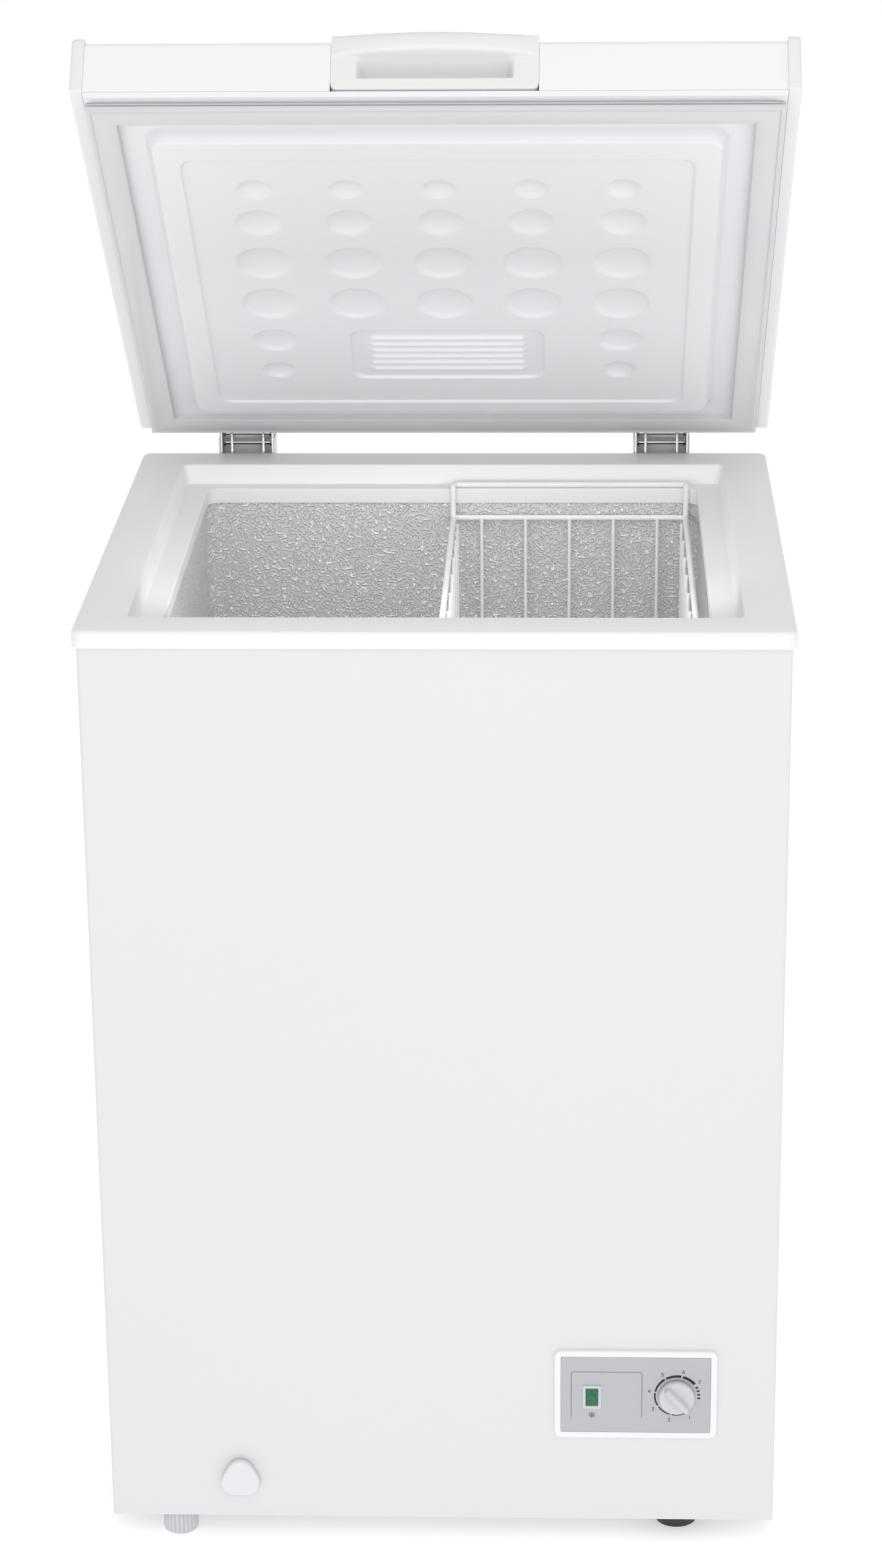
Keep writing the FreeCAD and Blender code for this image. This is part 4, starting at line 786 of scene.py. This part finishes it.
def screw_heads(finish):
    """A pan head with a cross recess on every point of a mesh, its axis along Y."""
    sizes = ("Head Radius", "Head Height", "Shank Radius", "Shank Length")
    tree, given = new_tree("screw heads", [(size, "NodeSocketFloat") for size in sizes])
    head = add(tree, "GeometryNodeMeshUVSphere", {"Segments": 24, "Rings": 12,
                                                  "Radius": given["Head Radius"]})
    squat = add(tree, "ShaderNodeMath", {0: given["Head Height"], 1: given["Head Radius"]},
                operation="DIVIDE")
    stretch = add(tree, "ShaderNodeCombineXYZ", {"X": 1.0, "Y": 1.0, "Z": squat.outputs[0]})
    dome = add(tree, "GeometryNodeTransform", {"Geometry": head.outputs["Mesh"],
                                               "Scale": stretch.outputs["Vector"]})
    shank = add(tree, "GeometryNodeMeshCylinder", {"Vertices": 16, "Radius": given["Shank Radius"],
                                                   "Depth": given["Shank Length"]})
    half_shank = add(tree, "ShaderNodeMath", {0: given["Shank Length"], 1: -0.5}, operation="MULTIPLY")
    shank_down = add(tree, "ShaderNodeCombineXYZ", {"Z": half_shank.outputs[0]})
    sunk = add(tree, "GeometryNodeTransform", {"Geometry": shank.outputs["Mesh"],
                                               "Translation": shank_down.outputs["Vector"]})
    long_slot = add(tree, "ShaderNodeMath", {0: given["Head Radius"], 1: 1.1}, operation="MULTIPLY")
    thin_slot = add(tree, "ShaderNodeMath", {0: given["Head Radius"], 1: 0.22}, operation="MULTIPLY")
    cutters = []
    for x, y in ((long_slot, thin_slot), (thin_slot, long_slot)):
        size = add(tree, "ShaderNodeCombineXYZ", {"X": x.outputs[0], "Y": y.outputs[0],
                                                  "Z": given["Head Height"]})
        bar = add(tree, "GeometryNodeMeshCube", {"Size": size.outputs["Vector"]})
        lift = add(tree, "ShaderNodeCombineXYZ", {"Z": given["Head Height"]})
        cutters.append(add(tree, "GeometryNodeTransform", {"Geometry": bar.outputs["Mesh"],
                                                           "Translation": lift.outputs["Vector"]}))
    cut = add(tree, "GeometryNodeMeshBoolean", {"Mesh 1": dome.outputs["Geometry"],
                                                "Mesh 2": cutters[0].outputs["Geometry"]},
              operation="DIFFERENCE")
    tree.links.new(cutters[1].outputs["Geometry"], cut.inputs["Mesh 2"])
    whole = add(tree, "GeometryNodeJoinGeometry", {"Geometry": cut.outputs["Mesh"]})
    tree.links.new(sunk.outputs["Geometry"], whole.inputs["Geometry"])
    spots = add(tree, "GeometryNodeMeshToPoints", {"Mesh": given["Mesh"]})
    placed = add(tree, "GeometryNodeInstanceOnPoints", {"Points": spots.outputs["Points"],
                                                        "Instance": whole.outputs["Geometry"],
                                                        "Rotation": (-math.pi / 2, 0.4, 0.0)})
    finish_tree(tree, placed.outputs["Instances"], finish)
    return tree


def screws(name, places, head, height, shank, length, body, slot, node, finish, tilt=None):
    tree = screw_heads(finish)
    piece = grown(name, paths_mesh(name, [[place] for place in places]), tree,
                  {"Head Radius": head * MM, "Head Height": height * MM, "Shank Radius": shank * MM,
                   "Shank Length": length * MM})
    soften(piece.data, 40)
    if tilt:
        piece.data.transform(tilt)
    show(piece, finish, body, slot, node)


screw_low, screw_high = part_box("hinge_screws")
bracket_low, bracket_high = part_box("hinge_cabinet_brackets")
seat_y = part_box("back_panel")[1].y + 2 * MM
hinge_xs = ((bracket_low.x + 23.8 * MM), (bracket_high.x - 23.8 * MM))
screws("hinge_screws_shown", [(x + dx, seat_y, z) for x in hinge_xs for dx in (-14 * MM, 14 * MM)
                              for z in (screw_low.z + 4.4 * MM, screw_high.z - 4.4 * MM)],
       4.4, 2.9, 2.1, 13.5, "cabinet", "zinc_steel", "hinge_screws", zinc_plate)
lid_screw_low, lid_screw_high = shut_box("hinge_lid_screws")
lid_seat_y = shut_box("lid_skin")[1].y + 2 * MM
screws("hinge_lid_screws_shown", [(x + dx, lid_seat_y, (lid_screw_low.z + lid_screw_high.z) / 2)
                                  for x in hinge_xs for dx in (-8 * MM, 8 * MM)],
       4.0, 2.7, 1.9, 13.5, "lid", "zinc_steel", "hinge_lid_screws", zinc_plate, swing)

# ---- Control panel ----
# A white moulded bezel snaps into a hole in the wrapper. A silver printed fascia lies in it, with
# a raised surround for the running lamp and a printed scale round the thermostat's knob.

bezel_low, bezel_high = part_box("control_bezel")
lamp_low, lamp_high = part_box("lamp_surround")
front_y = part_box("outer_shell")[0].y


def upright(rect, y, radius, steps=8):
    """Points round a rectangle that stands in the cabinet's front."""
    return [(x, y, z) for x, z in outline(*rect, radius, steps)]


def bezel_rings():
    edge = (bezel_low.x, bezel_high.x, bezel_low.z, bezel_high.z)
    face_y = bezel_low.y
    shape = [(0.0, front_y + 0.05 * MM), (0.0, face_y + 1.2 * MM), (0.15, face_y + 0.6 * MM),
             (0.6, face_y + 0.15 * MM), (1.2, face_y), (4.2, face_y), (4.9, face_y + 0.1 * MM),
             (5.3, face_y + 0.45 * MM), (5.45, face_y + 1.6 * MM), (9.0, face_y + 1.7 * MM),
             (9.0, front_y + 0.05 * MM)]
    return [upright(shrink(edge, inset * MM), y, max(6 - inset, 0.8) * MM) for inset, y in shape]


show(loft("control_bezel_shown", bezel_rings()), white_styrene, "cabinet", "white_moulding", "control_bezel")


def fascia_film():
    """Silver ink under a clear matt film: a fine pearl sparkle on a cool grey."""
    finish, tree, shader, place = new_finish("silver printed film")
    sparkle = add(tree, "ShaderNodeTexNoise", {"Vector": place, "Scale": 1 / (0.5 * MM), "Detail": 1.0})
    tinted(tree, shader, sparkle.outputs["Fac"], "#BBBCC0", "#B0B2B6")
    polished(tree, shader, sparkle.outputs["Fac"], 0.36, 0.5)
    shader.inputs["Metallic"].default_value = 0.35
    return finish


silver_film = fascia_film()
dressed("control_fascia", silver_film)
film_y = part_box("control_fascia")[0].y


line_grey = grained("embossed line in the film, grey", "#85878C", "#7B7D82", 8, 0.4, 0.006, 0.45)


def relief_frame():
    """A raised line in the fascia, open at the bottom, that frames the lamp."""
    x0, x1 = bezel_low.x + 13.8 * MM, bezel_low.x + 71.3 * MM
    z0, z1 = bezel_low.z + 18.8 * MM, bezel_low.z + 60.5 * MM
    y = film_y + 0.25 * MM
    return wire_piece("fascia_frame_line", [[(x0, y, z0), (x0, y, z1), (x1, y, z1), (x1, y, z0)]], 0.45, 2.2,
                      line_grey, 10)


show(relief_frame(), line_grey, "cabinet", "silver_fascia")

lamp_plastic = grained("acrylonitrile styrene, pale grey", "#CFD0D2", "#C8C9CC", 12, 0.4, 0.008, 0.35)


def lamp_rings():
    edge = (lamp_low.x, lamp_high.x, lamp_low.z, lamp_high.z)
    y = lamp_low.y
    shape = [(0.0, film_y + 0.3 * MM), (0.0, y + 0.5 * MM), (0.15, y + 0.15 * MM), (0.5, y), (1.9, y),
             (2.2, y + 0.12 * MM), (2.45, y + 0.5 * MM), (2.55, y + 1.6 * MM), (2.55, film_y + 2.5 * MM)]
    return [upright(shrink(edge, inset * MM), z, max(1.4 - inset, 0.4) * MM, 5) for inset, z in shape]


show(loft("lamp_surround_shown", lamp_rings()), lamp_plastic, "cabinet", "pale_plastic", "lamp_surround")


def tinted_lens():
    """Transparent green acrylic over a dark reflector: deep and even, with a polished face."""
    finish, tree, shader, place = new_finish("green acrylic lens")
    depth = add(tree, "ShaderNodeTexVoronoi", {"Vector": place, "Scale": 1 / (2.2 * MM)})
    tinted(tree, shader, depth.outputs["Distance"], "#0F7A4E", "#0A4A31")
    shader.inputs["Roughness"].default_value = 0.12
    shader.inputs["IOR"].default_value = 1.49
    shader.inputs["Coat Weight"].default_value = 0.2
    return finish


lens_low, lens_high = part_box("lamp_lens")
lens_shape = [(0.0, lens_high.y), (0.0, lens_low.y + 1.0 * MM), (0.2, lens_low.y + 0.5 * MM),
              (0.7, lens_low.y + 0.3 * MM)]
lens_rings = [upright(shrink((lens_low.x, lens_high.x, lens_low.z, lens_high.z), inset * MM), y,
                      max(0.9 - inset, 0.2) * MM, 4) for inset, y in lens_shape]
show(loft("lamp_lens_shown", lens_rings, closed=False, ends=True), tinted_lens(), "cabinet", "green_lens",
     "lamp_lens")
black_plastic = grained("glass-filled nylon, black", "#26272A", "#1C1D1F", 25, 0.6, 0.02, 0.5)
dressed("lamp_body", black_plastic, ease=0.3)
dressed("thermostat_body", zinc_plate, ease=0.3)
dressed("thermostat_probe", copper)

# The scale is screen-printed: six arcs that thicken from the warmest setting to the coldest, four
# dashes beyond them, and the numbers outside. The knob turns against it.

printed_ink = grained("screen-printed ink, black", "#0E0F11", "#141517", 6, 0.3, 0.004, 0.55)
dial = next(joint for joint in frame["joints"] if joint["name"] == "thermostat_turn")
dial_x, dial_z = dial["pos_m"][0], dial["pos_m"][2]
ink_y = film_y - 0.06 * MM


def around(radius, heading):
    """A point round the knob, with the heading in degrees clockwise from straight up."""
    turn = math.radians(heading)
    return dial_x + radius * MM * math.sin(turn), dial_z + radius * MM * math.cos(turn)


number_headings = (151.6, 195.0, 237.7, 280.5, 329.1, 373.9, 415.4)


def scale_mesh():
    shape = bmesh.new()

    def band(start, stop, inner, outer_start, outer_stop, pieces):
        rows = []
        for i in range(pieces + 1):
            heading = start + (stop - start) * i / pieces
            outer = outer_start + (outer_stop - outer_start) * i / pieces
            rows.append([shape.verts.new((x, ink_y, z))
                         for x, z in (around(inner, heading), around(outer, heading))])
        for low, high in zip(rows, rows[1:]):
            shape.faces.new((low[0], low[1], high[1], high[0]))

    thickness = [0.7, 0.95, 1.2, 1.45, 1.8, 2.2, 2.4]
    for i, (start, stop) in enumerate(zip(number_headings, number_headings[1:])):
        band(start + 2.2, stop - 2.2, 17.0, 17.0 + thickness[i], 17.0 + thickness[i + 1], 12)
    for i in range(4):
        heading = number_headings[-1] + 9 + 10.5 * i
        band(heading - 2.4, heading + 2.4, 17.0, 19.3, 19.3, 3)
    for face in shape.faces:
        if face.normal.y > 0:
            face.normal_flip()
    bmesh.ops.recalc_face_normals(shape, faces=shape.faces)
    solid = bmesh.ops.extrude_face_region(shape, geom=shape.faces[:])
    bmesh.ops.translate(shape, verts=[v for v in solid["geom"] if isinstance(v, bmesh.types.BMVert)],
                        vec=(0, 0.1 * MM, 0))
    bmesh.ops.recalc_face_normals(shape, faces=shape.faces)
    mesh = bpy.data.meshes.new("dial_scale")
    shape.to_mesh(mesh)
    shape.free()
    return mesh


show(new_object("dial_scale", scale_mesh()), printed_ink, "cabinet", "silver_fascia")


def printed_number(figure, x, z, height):
    """A number as a thin flat mesh that faces forwards, centred on a point."""
    curve = bpy.data.curves.new("figure_" + figure, "FONT")
    curve.body = figure
    curve.size = height * 1.4
    curve.align_x, curve.align_y = "CENTER", "CENTER"
    curve.extrude = 0.04 * MM
    curve.resolution_u = 4
    lettering = new_object("figure_" + figure, curve)
    mesh = bpy.data.meshes.new_from_object(lettering.evaluated_get(bpy.context.evaluated_depsgraph_get()))
    bpy.data.objects.remove(lettering)
    mesh.transform(Matrix.Translation((x, ink_y, z)) @ Matrix.Rotation(math.pi / 2, 4, "X"))
    return show(new_object("figure_" + figure, mesh), printed_ink, "cabinet", "silver_fascia")


for i, heading in enumerate(number_headings):
    x, z = around(22.6, heading)
    printed_number(str(i + 1), x, z, 3.4 * MM)

# A plain snow crystal, printed under the lamp, stands for freezing.
crystal_x, crystal_z = (lamp_low.x + lamp_high.x) / 2, lamp_low.z - 6 * MM
arms = []
for i in range(6):
    heading = math.radians(60 * i)
    out = (math.sin(heading), math.cos(heading))
    tip = (crystal_x + 2.6 * MM * out[0], ink_y, crystal_z + 2.6 * MM * out[1])
    fork = (crystal_x + 1.7 * MM * out[0], ink_y, crystal_z + 1.7 * MM * out[1])
    arms.append([(crystal_x, ink_y, crystal_z), tip])
    for lean in (-0.9, 0.9):
        arms.append([fork, (fork[0] + 1.0 * MM * math.sin(heading + lean), ink_y,
                            fork[2] + 1.0 * MM * math.cos(heading + lean))])
show(wire_piece("snow_crystal", arms, 0.16, 0.0, printed_ink, 6), printed_ink, "cabinet", "silver_fascia")

# The knob is moulded in pale grey with a curved diagonal grip, and is pushed on to the spindle.
knob_low, knob_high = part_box("thermostat_knob")
knob_plastic = grained("injection-moulded ABS, pale grey", "#CFD0D3", "#C6C7CB", 14, 0.5, 0.01, 0.3)


def knob_skirt():
    radius = (knob_high.x - knob_low.x) / 2
    back = knob_high.y
    profile = [(0.0, back), (radius - 0.4 * MM, back), (radius, back - 0.5 * MM), (radius, back - 3.6 * MM),
               (radius - 0.5 * MM, back - 4.5 * MM), (radius - 1.4 * MM, back - 4.9 * MM),
               (radius * 0.5, back - 5.2 * MM), (0.0, back - 5.2 * MM)]
    rings = [[(dial_x + max(r, 0.02 * MM) * math.cos(turn), y, dial_z + max(r, 0.02 * MM) * math.sin(turn))
              for turn in (2 * math.pi * i / 72 for i in range(72))] for r, y in profile]
    return loft("thermostat_knob_shown", rings, closed=False, ends=True)


def knob_grip():
    """A bar across the knob, waisted in plan and rounded along its top."""
    length = (knob_high.x - knob_low.x) / 2 - 1.0 * MM
    rings = []
    for depth, narrow in ((0.0, 0.0), (0.45, 0.25), (0.75, 0.6), (0.92, 1.15), (1.0, 2.2)):
        ring = []
        y = knob_high.y - 4.9 * MM - depth * (knob_high.y - 4.9 * MM - knob_low.y)
        for i in range(48):
            turn = 2 * math.pi * i / 48
            along = math.cos(turn) * (length - narrow * 0.5 * MM)
            waist = 3.1 + 0.9 * (math.cos(turn) ** 2)
            side = math.copysign(abs(math.sin(turn)) ** 0.55, math.sin(turn)) * (waist - narrow) * MM
            ring.append((side, y, along))
        rings.append(ring)
    piece = loft("knob_grip", rings, closed=False, ends=True, sharp_from=60)
    piece.data.transform(Matrix.Translation((dial_x, 0, dial_z)) @ Matrix.Rotation(math.radians(317), 4, "Y"))
    return piece


show(knob_skirt(), knob_plastic, "thermostat_dial", "knob_plastic", "thermostat_knob")
show(knob_grip(), knob_plastic, "thermostat_dial", "knob_plastic")
dressed("thermostat_spindle", zinc_plate)

# ---- Drain ----
# Melt water leaves through a plug in the tank's floor and a hose in the foam. The spout pulls out
# of the front through a sleeve, and a rounded three-cornered cap turns on its end to open it.

drain_plastic = grained("polypropylene, cool white", "#E1E1E4", "#DDDDE1", 40, 0.7, 0.012, 0.42)
cap_low, cap_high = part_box("drain_knob")
drain_cap = next(joint for joint in frame["joints"] if joint["name"] == "drain_cap_turn")
drain_x = drain_cap["pos_m"][0]


def drain_cap_rings():
    """A three-cornered plate with bulging sides; each ring is one step over its eased edge."""
    width = (cap_high.x - cap_low.x) / 2
    middle_z = (cap_low.z + cap_high.z) / 2
    tall = (cap_high.z - cap_low.z) / 2

    def rim(i):
        turn = 2 * math.pi * i / 96
        swell = 1 + 0.085 * math.cos(3 * turn)
        return swell * math.sin(turn), swell * math.cos(turn)

    wide = max(abs(rim(i)[0]) for i in range(96))
    top, low = max(rim(i)[1] for i in range(96)), min(rim(i)[1] for i in range(96))
    rings = []
    for share, y in ((0.94, cap_high.y), (0.985, cap_high.y - 0.4 * MM), (1.0, cap_high.y - 1.2 * MM),
                     (1.0, cap_low.y + 1.6 * MM), (0.985, cap_low.y + 0.8 * MM),
                     (0.94, cap_low.y + 0.25 * MM), (0.87, cap_low.y + 0.02 * MM), (0.5, cap_low.y)):
        rings.append([(drain_x + share * width * x / wide, y,
                       middle_z + share * tall * (2 * (z - low) / (top - low) - 1))
                      for x, z in (rim(i) for i in range(96))])
    return rings


show(loft("drain_cap_shown", drain_cap_rings(), closed=False, ends=True), drain_plastic, "drain_cap",
     "white_moulding", "drain_knob")


def pointer_bump():
    """A small dome at the cap's point that marks which way it is turned."""
    centre = Vector((drain_x, cap_low.y + 0.35 * MM, cap_high.z - 4.0 * MM))
    rings = []
    for t in (90, 70, 50, 30, 12, 2):
        r, y = 1.2 * MM * math.sin(math.radians(t)), centre.y - 0.33 * MM * math.cos(math.radians(t))
        rings.append([(centre.x + r * math.cos(turn), y, centre.z + r * math.sin(turn))
                      for turn in (2 * math.pi * i / 24 for i in range(24))])
    return loft("drain_cap_mark", rings, closed=False, ends=True)


show(pointer_bump(), drain_plastic, "drain_cap", "white_moulding")
dressed("drain_spout", drain_plastic)
dressed("drain_sleeve", drain_plastic)
dressed("drain_hose", drain_plastic)
dressed("tank_drain_plug", white_styrene)

# ---- Feet ----
# Two ribbed nylon feet on the left screw up and down on studs to level the cabinet. The two on
# the right are plain black tapered blocks pushed into the compartment's floor plate.

frosted_nylon = grained("natural nylon, frosted", "#D4D4D8", "#C3C3C9", 10, 0.6, 0.02, 0.38)


def ribbed_foot(place):
    low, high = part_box("levelling_foot_" + place)
    cx, cy = (low.x + high.x) / 2, (low.y + high.y) / 2
    radius, ribs = (high.x - low.x) / 2, 24
    rings = []
    for share, z, depth in ((0.0, 0.3, 0.0), (0.8, 0.0, 0.0), (0.9, 0.15, 0.0), (0.97, 1.2, 0.4),
                            (1.0, 3.0, 1.0), (1.0, 17.6, 1.0), (0.97, 19.6, 0.6), (0.88, 20.8, 0.0),
                            (0.3, 21.0, 0.0)):
        ring = []
        for i in range(ribs * 8):
            turn = 2 * math.pi * i / (ribs * 8)
            groove = depth * 1.1 * MM * max(math.cos(turn * ribs), 0) ** 2
            r = max(radius * share, 0.05 * MM) - groove
            ring.append((cx + r * math.cos(turn), cy + r * math.sin(turn), z * MM))
        rings.append(ring)
    return loft("ribbed_foot_" + place, rings, closed=False, ends=True)


for place in ("front", "rear"):
    show(ribbed_foot(place), frosted_nylon, place + "_foot", "foot_plastic", "levelling_foot_" + place)
    dressed("levelling_stud_" + place, zinc_plate)
black_rubber = grained("moulded rubber, black", "#3D3E42", "#333438", 20, 0.8, 0.03, 0.6)
dressed("fixed_feet", black_rubber)
dressed("foot_bushes", zinc_plate)

# ---- Machine compartment ----
# The sealed compressor stands on rubber grommets behind a slotted steel cover, with its start
# relay, drier and pipes. Its shell is two deep-drawn steel cups, welded and painted black.

black_enamel = grained("baked enamel, black", "#1B1C1E", "#121314", 70, 1.2, 0.03, 0.28, coat=0.4)
dressed("compressor_shell", black_enamel)
dressed("compressor_cradle", black_enamel, ease=0.3)
dressed("compressor_grommets", black_rubber)
dressed("compressor_bolts", zinc_plate)
dressed("relay_cover", black_plastic, ease=0.5)
for node in ("compressor_pipes", "filter_drier", "capillary_tube"):
    dressed(node, copper)
dressed("rear_cover", zinc_sheet, ease=0.2)
dressed("inlet_gland", black_plastic)
cover_screw_low, cover_screw_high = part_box("rear_cover_screws")
cover_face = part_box("rear_cover")[1].y
inset = 3.6 * MM
screw_xs = (cover_screw_low.x + inset, cover_screw_high.x - inset)
screw_zs = (cover_screw_low.z + inset, (cover_screw_low.z + cover_screw_high.z) / 2,
            cover_screw_high.z - inset)
screws("rear_cover_screws_shown", [(x, cover_face, z) for x in screw_xs for z in screw_zs],
       3.6, 2.3, 1.6, 11.0, "cabinet", "zinc_steel", "rear_cover_screws", zinc_plate)
